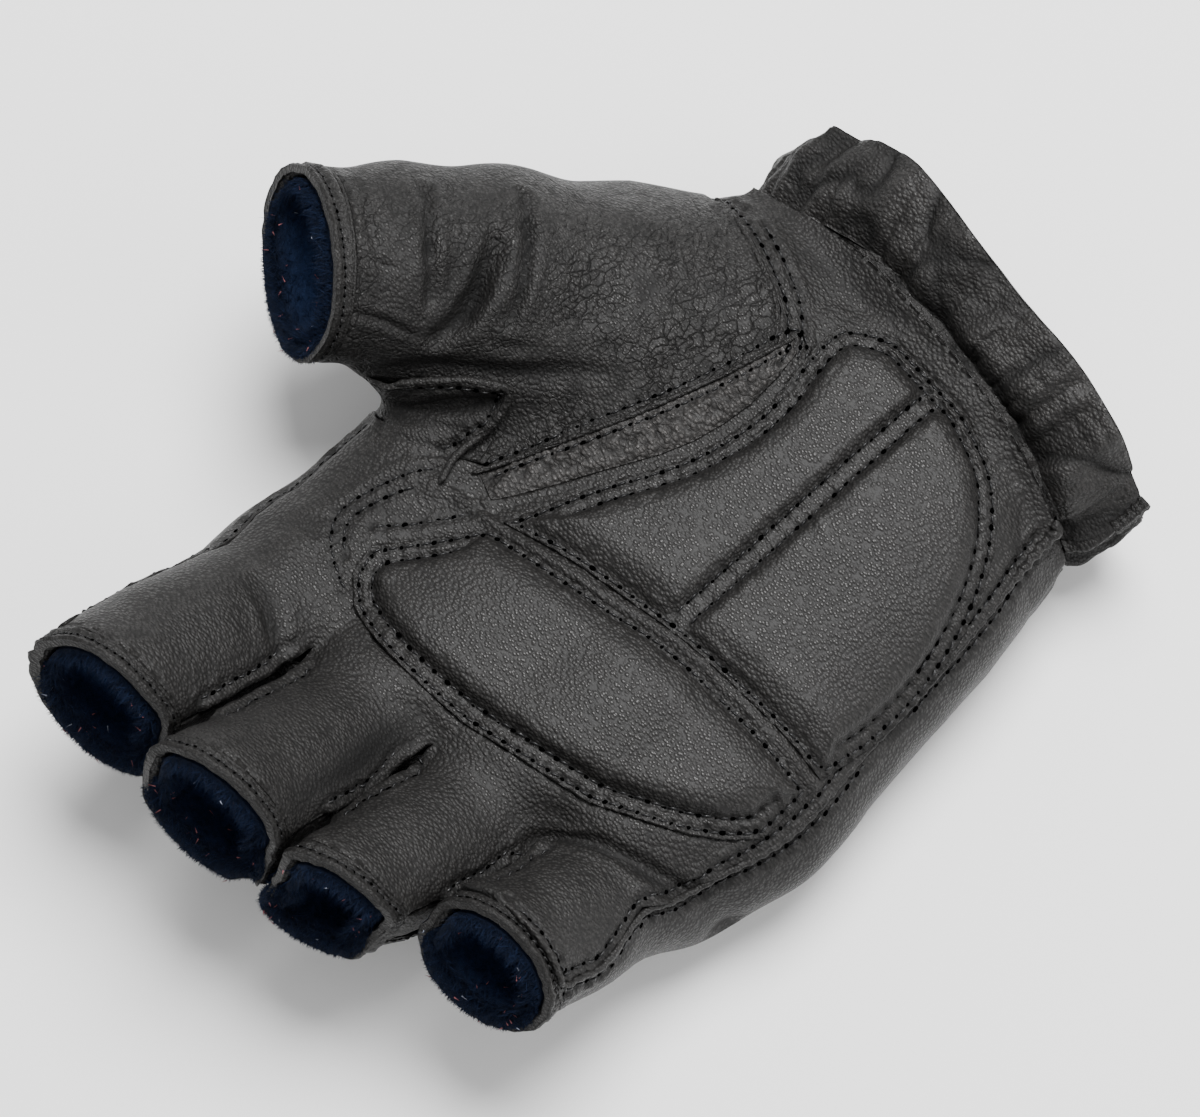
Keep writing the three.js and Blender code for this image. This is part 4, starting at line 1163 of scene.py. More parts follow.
# the raised edge of the patch in the web
WEB_EDGE = (
    (55.6, 8.2, 39.0), (54.1, 6.4, 39.8), (48.8, -0.1, 40.1), (45.2, -3.5, 39.2),
    (43.6, -4.7, 38.5),
    (42.9, -4.0, 37.3), (42.0, -1.8, 35.0), (41.3, 0.6, 33.2), (41.2, 4.1, 31.8), (41.0, 7.0, 31.7),
    (40.4, 10.5, 32.2), (38.1, 14.9, 32.9),
)
WEB_PIPED = 9           # as many of its places lie well clear of the palm leather
# the folds inside that patch: places, depth, width, height of the lips beside it
WEB_LINES = (
    (((55.0, 11.0, 32.0), (50.4, 7.5, 33.3), (46.3, 2.0, 35.5), (43.0, -3.0, 36.8)),
     -2.4, 1.6, 0.5),
    (((55.5, 13.0, 31.0), (50.0, 10.5, 31.5), (45.5, 6.0, 32.5)), -0.8, 1.5, 0.3),
)

# places along each line, depth, width, height of the lips beside it
PALM_LINES = (
    (((32.2, 39.5, 33.2), (23.4, 40.4, 34.5), (18.2, 38.5, 35.4)), -1.3, 2.0, 0.4),
    (((41.8, 49.3, 36.8), (35.8, 51.7, 36.9), (31.4, 54.3, 35.6)), -1.1, 1.6, 0.4),
    (((4.6, 68.4, 50.9), (6.5, 57.4, 42.3), (7.8, 46.5, 35.9), (8.0, 41.1, 35.1)), -3.4, 3.6, 0.5),
    (((-22.0, 41.6, 31.5), (-20.0, 47.5, 31.6), (-18.2, 54.1, 38.9)), -0.7, 1.5, 0.2),
    (((-19.1, 41.0, 29.0), (-27.5, 33.6, 32.6), (-38.6, 28.2, 31.6), (-46.4, 21.7, 27.7)),
     -2.8, 1.7, 1.2),
    (((-30.0, 44.0, 30.0), (-38.0, 38.0, 30.0), (-45.0, 33.0, 28.0)), -0.9, 1.5, 0.4),
    (((-34.0, -47.2, 29.1), (-41.0, -30.0, 25.9), (-45.4, -13.8, 23.4), (-47.4, -2.8, 22.3)),
     1.1, 2.4, -0.5),
    (((8.0, -66.0, 37.0), (16.0, -62.5, 36.5), (27.0, -60.0, 35.0), (35.0, -58.0, 33.0)),
     -0.8, 2.2, 0.2),
    (((46.0, 30.0, 33.0), (40.0, 24.0, 34.0), (36.0, 20.0, 34.0)), -0.8, 1.8, 0.3),
    (((50.0, 40.0, 31.0), (44.0, 33.0, 34.0), (38.0, 29.0, 35.0)), -0.6, 1.6, 0.2),
)
THUMB_LINES = (
    (((66.6, -25.8, 46.5), (58.9, -20.9, 48.4), (52.6, -14.7, 47.9), (49.9, -9.3, 46.0)),
     -1.6, 1.0, 0.6),
    (((75.4, -12.0, 52.5), (67.2, -6.7, 54.3), (60.0, -0.9, 50.6)), -1.25, 1.1, 0.4),
    (((61.9, -16.2, 48.9), (57.3, -8.8, 48.0), (55.2, -4.1, 47.2), (54.8, 1.3, 46.5)),
     -2.5, 1.5, 0.9),
    (((83.0, -3.6, 54.3), (74.6, 0.1, 57.0), (66.6, 3.2, 55.3)), -0.45, 0.8, 0.2),
    (((79.8, 1.7, 58.3), (73.8, 4.4, 58.5), (69.5, 8.5, 57.8)), -0.35, 0.7, 0.15),
    (((65.6, 12.3, 54.9), (61.4, 7.5, 51.1), (57.2, 4.0, 47.4)), -0.5, 0.8, 0.2),
    (((71.8, 7.1, 58.7), (69.3, 3.8, 56.6), (66.3, 0.7, 55.1)), -0.35, 0.7, 0.15),
    (((59.7, 12.2, 40.8), (52.6, 3.2, 41.4), (43.6, -6.8, 39.9), (35.9, -17.8, 38.9)),
     -1.0, 1.7, 0.2),
    (((48.0, -6.0, 44.0), (42.0, -13.0, 43.0), (36.0, -24.0, 41.0)), -0.6, 1.2, 0.4),
)


def gathers(base, reach):
    """Pleats that run along the hand from the elastic line of the wrist, and die out."""
    x, y, z = base.T
    behind = np.abs(y - (ELASTIC_Y + elastic_bow(x)))
    around = np.arctan2((z - MID_HEIGHT(y)) * 1.2, x - WRIST_MIDDLE) * 40
    line = np.column_stack([around, y * 0.12, np.zeros(len(x))])
    pleat = noise(line, 4.6, 31) + 0.6 * noise(line, 2.4, 32)
    sharp = -1.3 * creases(line, 5.2, 33, 1.6)
    return (pleat * 0.9 + sharp) * np.exp(-behind / reach) - 1.7 * bell(behind, 2.4)


# where rows and cords run along the edges of the palm and the thumb, as bounds of x and y
WRIST_ROW = {"x": (14, FAR), "y": (-58, -44)}
OUTER_ROW = {"x": (-FAR, -30), "y": (-66, 56)}
OUTER_CORD = {"x": (-FAR, -30), "y": (-66, 54)}
THUMB_CORD = {"x": (-FAR, 50), "y": (-FAR, -42)}
THUMB_EDGE = {"x": (-FAR, 50), "y": (-FAR, 13)}
SEAM_GAP = -0.25        # from a panel's edge to the middle of the seam beside it
WRIST_ROW_GAPS = (1.5, 4.0)
FINGER_ROW_GAP, OUTER_ROW_GAP, BACK_ROW_GAP = 2.3, 1.6, 1.4
BACK_ROW_ABOVE = 26
# how leather lies round a patch: its lift under the patch and beside it, and how far that reaches
PAD_SEAT = (0.45, 0.95, 4.0)
WEB_SEAT = (0.95, 0.95, 6.0)
CRESCENT_SEAT = (0.3, 0.9, 2.5)
CRESCENT_SEAT_ON_THUMB = (0.3, 0.8, 2.2)
SEAM_RIDGE_WIDTH = 0.95
BINDING_PITCH, BINDING_LENGTH = 1.9, 0.8
PAD_ROW_GAPS = (0.9, 3.3)
PAD_SEAM_CLEARANCE = 6.5
CHANNEL_ROWS = (-1.5, 1.5)      # to either side of the channel's middle
FINGER_ROW_FROM = 38    # y beyond which rows run beside the gaps between the fingers
FINGERS_FROM = 40       # y beyond which the fingers lie


def palm_leather(scene, hide):
    leather = scene.glove_leather
    palm = dense("palm_panel")
    base, rim = palm.base, palm.rims[0]
    rows = []
    for gap in WRIST_ROW_GAPS:
        rows += rim.offset(gap).where(lambda p: within(p, **WRIST_ROW))
    rows += rim.offset(FINGER_ROW_GAP).where(
        lambda p: (p[:, 1] > FINGER_ROW_FROM) & near_webs(p, 7.0))
    rows += rim.offset(OUTER_ROW_GAP).where(lambda p: within(p, **OUTER_ROW))
    rows += [drawn_row(places) for places in EXTRA_ROWS]
    sew("palm_panel", rows)

    lift = leather.wrinkle * soft_wrinkles(base, 3) + gathers(base, 8.0)
    seat = patch_seat(base, PADS, *PAD_SEAT)
    lift = np.where(seat > 0.3, np.minimum(lift * 0.3, 0.15), lift) + seat
    folds, painted_shade = drawn_lines(base, PALM_LINES)
    lift += folds * (1 - np.clip(seat, 0, 1))
    painted_shade *= 1 - np.clip(seat, 0, 1)
    # raised beside the web patch and the crescent, and over the crescent's end
    lift = np.maximum(lift, patch_seat(base, ("web_gusset",), *WEB_SEAT) * (base[:, 0] > 36))
    lift = np.maximum(lift, patch_seat(base, ("thumb_crescent",), *CRESCENT_SEAT))
    lift = np.maximum(lift, bell(np.linalg.norm(base - CRESCENT_END, axis=1), 4.5))
    # the ridge between the two pads
    seam_away = line_distance(base[:, :2], PAD_SEAM) + np.where(on_palm_side(base), 0, 100)
    lift += (0.75 + 0.25 * noise(base, 1.6, 71)) * bell(seam_away, SEAM_RIDGE_WIDTH)
    # the raised edges beside the gaps between the fingers
    away = palm.rim_distance()
    fingers = (base[:, 1] > FINGERS_FROM) & near_webs(base, 6.5)
    lift += np.where(fingers, bell(away - 0.9, 0.9), 0)
    # painted shade at the edge beside each gap between the fingers
    painted_shade = np.maximum(painted_shade, np.where(fingers, 0.8 * bell(away, 0.5), 0))
    build_wall("palm_panel", hide, "leather", lift, rows, scene, painted_extra_shade=painted_shade)


def back_leather(scene, hide):
    back = dense("back_panel")
    rows = []
    for line in back.rims:
        rows += line.offset(BACK_ROW_GAP).where(
            lambda p: (p[:, 1] > FINGERS_FROM) | (p[:, 2] > BACK_ROW_ABOVE))
    sew("back_panel", rows)
    lift = scene.glove_leather.wrinkle * soft_wrinkles(back.base, 8) + 0.8 * gathers(back.base, 7.0)
    build_wall("back_panel", hide, "leather", lift, rows, scene)


def thumb_leather(scene, creased):
    thumb = dense("thumb_panel")
    base = thumb.base
    top_edge = dense("thumb_crescent").rims[0].offset(-1.9)
    rows = sew("thumb_panel", top_edge.where(lambda p: line_distance(p, CRESCENT_TOP) < 4.5))

    # a net of creases, strongest low on the thumb
    pulled = stretched(base, (0.45, -0.85, 0.2), 2.2)
    low_part = np.clip((base[:, 0] * -0.5 - base[:, 1] * 0.4 + 34) / 22, 0, 1)
    net = creases(pulled, 5.0, 21, 1.7) * 0.95 + creases(pulled, 2.2, 23, 1.5) * 0.75
    net *= mix(0.35, 1.0, low_part)
    facing = np.clip(thumb.normals[:, 2] * 1.4 + 0.1, 0.1, 1)
    lift = scene.glove_leather.wrinkle * (0.6 * soft_wrinkles(base, 14) * facing - net)
    # finer creases near the opening
    near_mouth = np.clip((base @ unit(MOUTH_NORMAL["thumb"]) - 26) / 14, 0, 1)
    upright = stretched(base, (-0.3, 0.75, -0.1), 3.2)
    fine = creases(upright, 3.4, 27, 1.5) + 0.7 * creases(upright, 1.7, 29, 1.4)
    lift -= 0.4 * near_mouth * fine
    folds, painted_shade = drawn_lines(base, THUMB_LINES)
    # painted shade in the creases, in the fine creases near the opening and along the folds
    thin = np.maximum(creases(pulled, 2.2, 23, 3.0) * mix(0.4, 1.0, low_part),
                      near_mouth * fine * 0.6)
    painted_shade = np.maximum(1.3 * painted_shade, 0.55 * thin).clip(0, 1)
    lift = np.maximum(lift, patch_seat(base, ("thumb_crescent",), *CRESCENT_SEAT_ON_THUMB)) + folds
    # the raised edge along the palm
    palm_edge = on_palm_side(base) & within(base, **THUMB_EDGE)
    raised = np.where(palm_edge, 0.55 * bell(thumb.rim_distance() - 0.5, 0.6), 0)
    lift += raised * np.clip((8 - base[:, 1]) / 5, 0, 1)
    build_wall("thumb_panel", creased, "leather", lift, rows, scene, crest=0.6, painted_extra_shade=painted_shade)


def seam_cords(hide, creased):
    """The cords along the crescent, the thumb's edge and the outer side."""
    path, normals = settle(smoothed(resampled(CRESCENT_TOP, 160), False, 8), 4)
    tube("crescent_seam_edge", creased, "leather", path + normals * 1.6, 0.45, 0.06)
    for line in dense("thumb_panel").rims:
        for part in line.offset(SEAM_GAP).where(
                lambda p: within(p, **THUMB_CORD) & on_palm_side(p)):
            path = smoothed(part.points, False, 6) + part.normals * 0.12
            tube("thumb_seam_edge", creased, "leather", path, 0.55, 0.06)
    outer_edge = dense("palm_panel").rims[0].offset(SEAM_GAP)
    for line in outer_edge.where(lambda p: within(p, **OUTER_CORD)):
        path = smoothed(line.points, False, 8) + line.normals * 0.35
        size = 0.55 + 0.55 * np.clip((-48 - path[:, 1]) / 14, 0, 1)
        tube("outer_side_seam", hide, "leather", path, size, 0.22, pitch=2.6)


class GLOVE_OT_hand_leather(bpy.types.Operator):
    """Builds the palm, back and thumb leathers and the gussets between the fingers"""
    bl_idname = "glove.hand_leather"
    bl_label = "Hand leather"

    def execute(self, context):
        scene = context.scene
        leather = scene.glove_leather
        hide = leather_material(leather, "Hand leather", crease=0.3, spacing=4.2, pores=0.25)
        creased = leather_material(leather, "Thumb leather", rougher=-0.02, crease=1.7, spacing=1.7,
                                   stretch=0.6, pores=0.25)
        palm_leather(scene, hide)
        back_leather(scene, hide)
        thumb_leather(scene, creased)
        seam_cords(hide, creased)
        for node in GUSSETS:
            lift = 0.35 * leather.wrinkle * soft_wrinkles(dense(node).base, 40)
            build_wall(node, hide, "leather", lift, [], scene)
        return {"FINISHED"}


class GLOVE_OT_edges(bpy.types.Operator):
    """Builds the turned edges of the five openings"""
    bl_idname = "glove.edges"
    bl_label = "Turned edges"

    def execute(self, context):
        scene = context.scene
        leather = scene.glove_leather
        edge = leather_material(leather, "Turned edge leather", tone=0.85, pebble=0.8, depth=0.8,
                                crease=0.5)
        for name in DIGITS:
            node = f"hem_{name}"
            piece = dense(node)
            mouth = unit(MOUTH_NORMAL[name])
            inner, *_, outer = sorted(piece.rims, key=lambda r: (r.points @ mouth).mean())
            rows = sew(node, [outer.offset(1.7)])
            rows[0].fineness = 0.6
            lift = 0.3 * leather.wrinkle * soft_wrinkles(piece.base, 50)
            build_wall(node, edge, "edge_leather", lift, rows, scene)
            joint = inner.offset(SEAM_GAP)
            path, ways = (np.concatenate([v, v[:2]]) for v in (joint.points, joint.normals))
            tube(f"edge_joint_{name}", edge, "edge_leather", path - ways * 0.5, 0.42, 0.0)
        return {"FINISHED"}


class GLOVE_OT_cuff(bpy.types.Operator):
    """Builds the gathered cuff and its bound corner"""
    bl_idname = "glove.cuff"
    bl_label = "Cuff"

    def execute(self, context):
        scene = context.scene
        leather = scene.glove_leather
        hide = leather_material(leather, "Cuff leather", tone=1.6, rougher=-0.07, depth=1.1,
                                crease=0.5, spacing=3.2)
        piece = dense("cuff")
        base = piece.base
        lift = 0.6 * leather.wrinkle * soft_wrinkles(base, 60) + 1.2 * gathers(base, 12.0)
        slanted = stretched(base, (0.2, 1.0, 0.1), 2.6)
        lift += 0.9 * noise(slanted, 5.0, 62) - 1.2 * creases(slanted, 7.0, 63, 1.6)
        lift -= 0.3 * creases(base, 3.2, 66, 1.5)
        # painted shade in the slanted creases
        painted_shade = 0.8 * creases(slanted, 7.0, 63, 2.2)
        build_wall("cuff", hide, "leather", lift, [], scene, painted_extra_shade=painted_shade)

        corner = leather_material(leather, "Binding leather", tone=0.8, rougher=-0.05, pebble=0.7,
                                  crease=0.6)
        corners, faces = welded("cuff_binding")
        name, fineness, _ = PIECES["cuff_binding"]
        places, triangles = split(corners, faces, fineness)
        centre = places.mean(axis=0)
        along = unit(np.linalg.svd(places - centre, full_matrices=False)[2][0])
        travel = (places - centre) @ along
        away = places - centre - travel[:, None] * along
        swell = 1 + 0.1 * np.cos(math.tau * travel / BINDING_PITCH) + 0.05 * noise(places, 1.2, 70)
        points = centre + BINDING_LENGTH * travel[:, None] * along + away * swell[:, None]
        values = {"crest": np.full(len(points), 0.3), "groove": np.zeros(len(points))}
        add_piece(name, points, triangles, values, corner, "edge_leather", "cuff_binding")
        return {"FINISHED"}


class GLOVE_OT_pads(bpy.types.Operator):
    """Builds the two padded palm patches with their sewn channel"""
    bl_idname = "glove.pads"
    bl_label = "Palm pads"

    def execute(self, context):
        scene = context.scene
        leather, pads = scene.glove_leather, scene.glove_pads
        channel = np.array(PAD_CHANNEL)
        fine = leather_material(leather, "Pad leather", tone=1.08, rougher=-0.04, pebble=0.95,
                                depth=0.9, irregular=0.3, pores=0.2)
        for node in PADS:
            piece = dense(node)
            base, rim = piece.base, piece.rims[0]
            rows = [rim.offset(PAD_ROW_GAPS[0])]
            rows += rim.offset(PAD_ROW_GAPS[1]).where(
                lambda p: line_distance(p[:, :2], PAD_SEAM) >= PAD_SEAM_CLEARANCE)
            if node == "rear_palm_pad":
                share = np.linspace(0.03, 0.97, 160)[:, None]
                middle = mix(channel[0], channel[1], share)
                along = channel[1] - channel[0]
                across = unit((along[1], -along[0]))
                for side in CHANNEL_ROWS:
                    flat = middle + across * side
                    places = above(flat[:, 0], flat[:, 1])
                    places, normals = settle(places, 2)
                    rows.append(Line(places, normals, np.zeros_like(places), False))
            sew(node, rows)
            away = piece.rim_distance()
            seam_away = line_distance(base[:, :2], PAD_SEAM)
            flat = mix(0.45, 1.0, np.clip((seam_away - 2.5) / 6, 0, 1)) * pads.flat
            full = np.clip((away - flat) / pads.slope_width, 0, 1)
            crown = full * (2 - full)
            if node == "rear_palm_pad":
                gap = line_distance(base[:, :2], channel)
                crown = crown * (1 - pads.channel_depth * bell(gap, pads.channel_width))
            soft = 0.35 * leather.wrinkle * soft_wrinkles(base, 80)
            height = mix(piece.low, piece.low + pads.margin + pads.rise * crown, piece.outer)
            sink, groove = row_effects(rows, base, scene.glove_stitches)
            height += piece.outer * (soft * crown - sink - rounding(away, leather.edge_round))
            store_surface(node, piece, height)
            # painted highlight, stronger on the pad's crown, and painted shade along the stitch
            # rows
            values = {"crest": 0.45 + 0.35 * crown, "groove": groove}
            thing = add_piece(piece.name, piece.raised(height), piece.triangles, values,
                              fine, "pad_leather", node)
        return {"FINISHED"}


class GLOVE_OT_patches(bpy.types.Operator):
    """Builds the pebbled crescent and the patch in the web of the thumb"""
    bl_idname = "glove.patches"
    bl_label = "Thumb patches"

    def execute(self, context):
        scene = context.scene
        leather = scene.glove_leather
        pebbled = leather_material(leather, "Pebbled leather", tone=2.6, rougher=-0.06, pebble=1.25,
                                   depth=1.4, crease=0.6, spacing=2.8, irregular=0.7)
        web = leather_material(leather, "Web leather", tone=0.92, pebble=0.9)
        piece = dense("thumb_crescent")
        rows = piece.rims[0].offset(1.2).where(lambda p: line_distance(p, CRESCENT_TOP) < 3.0)
        sew("thumb_crescent", rows)
        share = np.clip(piece.rim_distance() / 2.8, 0, 1)
        bulge = mix(-0.75, 0.45, share * (2 - share))
        across = stretched(piece.base, (0.93, -0.3, 0.0), 1.7)
        net = creases(across, 2.1, 90, 1.5)
        pebbles = (-0.75 * net + 0.2 * noise(piece.base, 1.3, 91)) * share
        end = bell(np.linalg.norm(piece.base - CRESCENT_END, axis=1), 4.0)
        lift = (bulge + pebbles) * (1 - end) - 1.1 * end
        # painted shade in the crescent's creases and over its sunk end
        painted_shade = np.clip(0.6 * net * share + 0.5 * end, 0, 1)
        build_wall("thumb_crescent", pebbled, "pebbled_leather", lift, rows, scene, crest=0.9,
                   painted_extra_shade=painted_shade)

        piece = dense("web_gusset")
        rows = piece.rims[0].offset(1.5).where(lambda p: line_distance(p, WEB_EDGE) < 3.2)
        sew("web_gusset", rows)
        away = line_distance(piece.base, WEB_EDGE)
        lift = 0.3 * leather.wrinkle * soft_wrinkles(piece.base, 95)
        # the end beside the piping lies low, under the palm leather
        loose = np.clip((line_distance(piece.base, WEB_EDGE[:WEB_PIPED]) - 1.5) / 3.0, 0, 1)
        loose *= bell(piece.rim_distance(), 3.4)
        lift += mix(0.15, -0.5, np.clip((away - 2.0) / 8.0, 0, 1)) + 0.4 * bell(away - 0.6, 0.8)
        # the folds in the patch, with painted shade along them
        folds, painted_shade = drawn_lines(piece.base, WEB_LINES)
        lift = (lift + folds) * (1 - loose) - loose * mix(0.9, 1.6, piece.outer)
        build_wall("web_gusset", web, "leather", lift, rows, scene, painted_extra_shade=painted_shade)
        places = smoothed(resampled(WEB_EDGE, 90), False, 6)
        places, normals = settle(places, 4)
        tube("web_piping", web, "leather", places + normals * 1.9, 0.7, 0.1)
        return {"FINISHED"}


MOUTH_REACH = 30.0
FLEECE_STEPS, FLEECE_SIDES = 150, 20
FIBRE_WIDTH, FLECK_WIDTH = 0.16, 0.26
THIRD_OF_TURN = 2.0944
# the paler lining deep inside is painted light
PALE_FROM, PALE_OVER = 0.5, 9.0         # where the lining grows paler inside an opening


def mouth_ring(name, degrees, inward=0.0):
    """Places on the skin round an opening, at depths inward from its edge, with the ways out."""
    stations = [np.array(s[:3], float) for s in SLEEVES[name]]
    axis = unit(stations[-1] - stations[-2])
    normal, side, up = mouth_frame(name)
    turn = np.radians(degrees)
    ways = np.cos(turn)[:, None] * side + np.sin(turn)[:, None] * up
    centres = stations[-1] - axis * np.broadcast_to(inward, turn.shape)[:, None]
    return leave(centres, ways, MOUTH_REACH), ways, normal


def how_deep(name, places):
    """How deep places lie in an opening, from 0 at its edge to 1."""
    ring, _, normal = mouth_ring(name, np.linspace(0, 330, 12))
    return np.clip(((ring.mean(axis=0) - places) @ normal - PALE_FROM) / PALE_OVER, 0, 1)


def mouth_fleece(name, fleece, settings):
    """The lining's soft rolled edge on the back of an opening, and its loose fibres."""
    rng = np.random.default_rng(len(name) * 7 + ord(name[0]))
    places, ways, normal = mouth_ring(name, np.linspace(-178, -2, FLEECE_STEPS))
    share = np.sin(np.linspace(0, math.pi, FLEECE_STEPS)) ** 0.35
    path = places - ways * mix(3.0, 1.5, share)[:, None] + normal * mix(-2.2, -1.2, share)[:, None]
    path = smoothed(path, False, 4)
    sizes = mix(0.9, 1.75, share) * (1 + 0.06 * noise(path, 1.1, 110))
    plain = np.zeros(FLEECE_STEPS * FLEECE_SIDES + 2)
    tube(f"fleece_edge_{name}", fleece, "fleece", path, sizes, 0.0, sides=FLEECE_SIDES,
         values={"fleck": plain, "deep": plain})

    # short pile on the rolled edge, standing off its round surface
    count = settings.fibres
    pick = rng.integers(2, FLEECE_STEPS - 2, count)
    along = unit(path[pick + 1] - path[pick - 1])
    out = rng.normal(0, 1, (count, 3)) + normal * 0.5
    out = unit(out - np.einsum("ij,ij->i", out, along)[:, None] * along)
    roots = [path[pick] + along * rng.uniform(-0.4, 0.4, count)[:, None]
             + out * sizes[pick, None] * 0.93]
    leans = [unit(out + rng.normal(0, 0.55, (count, 3)))]
    lengths = [rng.uniform(0.2, 0.42, count) * settings.fibre_length]

    # longer pile inside, leaning in from the wall
    degrees = rng.uniform(0, 360, count)
    places, ways, _ = mouth_ring(name, degrees, rng.uniform(0, 1, count) ** 2.0 * 10 + 0.4)
    roots.append(places - ways * rng.uniform(3.3, 4.3, count)[:, None])
    lean = -ways * rng.uniform(0.2, 0.9, count)[:, None]
    lean = lean + normal * rng.uniform(0.3, 1.0, count)[:, None]
    leans.append(unit(lean + rng.normal(0, 0.4, (count, 3))))
    lengths.append(rng.uniform(0.7, 1.5, count) * settings.fibre_length)

    # short pile on the end of the lining, towards the opening
    places, ways, _ = mouth_ring(name, rng.uniform(0, 360, count // 2), 0.9)
    roots.append(places - ways * rng.uniform(2.6, 4.1, count // 2)[:, None])
    leans.append(unit(normal - 0.4 * ways + rng.normal(0, 0.45, (count // 2, 3))))
    lengths.append(rng.uniform(0.3, 0.7, count // 2) * settings.fibre_length)
    roots, leans, lengths = (np.concatenate(parts) for parts in (roots, leans, lengths))
    pile = pile_spikes(roots, leans, lengths, FIBRE_WIDTH, rng)

    # a few pink and pale flecks caught in the pile
    flecks = max(4, int(count * settings.fleck_share))
    which = np.concatenate([rng.integers(0, count, flecks), rng.integers(count, 2 * count, flecks)])
    tips = roots[which] + leans[which] * (lengths[which, None] * 0.6)
    lying = unit(np.cross(leans[which], rng.normal(0, 1, (2 * flecks, 3))))
    coloured = pile_spikes(tips, lying, rng.uniform(0.7, 1.3, 2 * flecks), FLECK_WIDTH, rng)
    tint = np.where(np.arange(2 * flecks) % 5 < 4, 0.5, 1.0)
    points = np.concatenate([pile[0], coloured[0]])
    triangles = np.concatenate([pile[1], coloured[1] + len(pile[0])])
    fleck = np.concatenate([np.zeros(len(pile[0])), np.repeat(tint, 4)])
    uneven = np.repeat(rng.uniform(-0.25, 0.35, len(points) // 4), 4)
    # deep: how much painted light makes each fibre paler, deeper in the opening
    values = {"fleck": fleck, "deep": np.clip(how_deep(name, points) + uneven, 0, 1)}
    add_piece(f"fleece_fibres_{name}", points, triangles, values, fleece, "fleece", smooth=False)


def pile_spikes(roots, leans, lengths, width, rng):
    """Thin tapered fibres, as closed spikes: four corners and four triangles each."""
    count = len(roots)
    side = unit(np.cross(leans, rng.normal(0, 1, (count, 3))))
    other = np.cross(leans, side)
    corners = [roots + (side * math.cos(t) + other * math.sin(t)) * width / 2
               for t in np.arange(3) * THIRD_OF_TURN]
    corners.append(roots + leans * lengths[:, None])
    points = np.stack(corners, axis=1).reshape(-1, 3)
    return points, repeated(np.array([(0, 1, 3), (1, 2, 3), (2, 0, 3), (0, 2, 1)]), count, 4)


class GLOVE_OT_lining(bpy.types.Operator):
    """Builds the brushed lining in the five openings"""
    bl_idname = "glove.lining"
    bl_label = "Lining"

    def execute(self, context):
        scene = context.scene
        fleece = fleece_material("Navy fleece", scene.glove_fleece.colour)
        for name in DIGITS:
            node = f"lining_{name}"
            piece = dense(node)
            tufts = 0.5 * noise(piece.base, 1.6, 100) + 0.3 * noise(piece.base, 0.8, 101)
            inner = piece.outer < 0.5
            height = piece.height - np.where(inner, 0.35 + tufts * 0.6, 0.0)
            points = piece.raised(height)
            # deep: how much painted light makes the lining paler, deeper in the opening
            values = {"fleck": np.zeros(len(points)), "deep": how_deep(name, points)}
            add_piece(piece.name, points, piece.triangles, values, fleece, "fleece", node)
            mouth_fleece(name, fleece, scene.glove_fleece)
        return {"FINISHED"}


def stitch_shape(length, thickness):
    """One stitch as a short arched strand: corners as x along, y across, z up, and triangles."""
    rings, sides = 5, 5
    corners = []
    for i in range(rings):
        u = i / (rings - 1)
        x = (u - 0.5) * length
        radius = thickness / 2 * (0.35 + 0.65 * math.sin(math.pi * mix(0.12, 0.88, u)) ** 0.6)
        z = 0.42 * math.sin(math.pi * u) - 0.3
        for k in range(sides):
            angle = 2 * math.pi * k / sides
            corners.append((x, radius * math.cos(angle), z + radius * math.sin(angle)))
    faces = ring_faces(rings, sides)
    last = (rings - 1) * sides
    for k in range(1, sides - 1):
        faces += [(0, k + 1, k), (last, last + k, last + k + 1)]
    return np.array(corners), np.array(faces)


def lens_shape(half_length, half_width, half_height, sides=10):
    """A flat lens: corners as x, y, z, and triangles."""
    angles = 2 * math.pi * np.arange(sides) / sides
    rim = np.column_stack([
        half_length * np.cos(angles), half_width * np.sin(angles), np.zeros(sides)])
    corners = np.concatenate([rim, [(0, 0, half_height), (0, 0, -half_height)]])
    faces = []
    for k in range(sides):
        after = (k + 1) % sides
        faces += [(k, after, sides), (after, k, sides + 1)]
    return corners, np.array(faces)


def along_line(line, pitch):
    """Places, directions and normals at even steps along a line."""
    arc = line.arc
    places = line.points
    if line.closed:
        places = np.concatenate([places, places[:1]])
        arc = np.append(arc, arc[-1] + np.linalg.norm(places[-1] - places[-2]))
    count = max(1, int(arc[-1] / pitch))
    at = (np.arange(count) + 0.5) * pitch
    ahead, behind = (along_arc(at + step, arc, places) for step in (0.3, -0.3))
    return along_arc(at, arc, places), unit(ahead - behind)


def copies(shape, places, along, across, normals):
    """The corners of a small shape, or of one for each place, turned to lie on the leather."""
    return (places[:, None] + shape[:, :, :1] * along[:, None] + shape[:, :, 1:2] * across[:, None]
            + shape[:, :, 2:] * normals[:, None]).reshape(-1, 3)


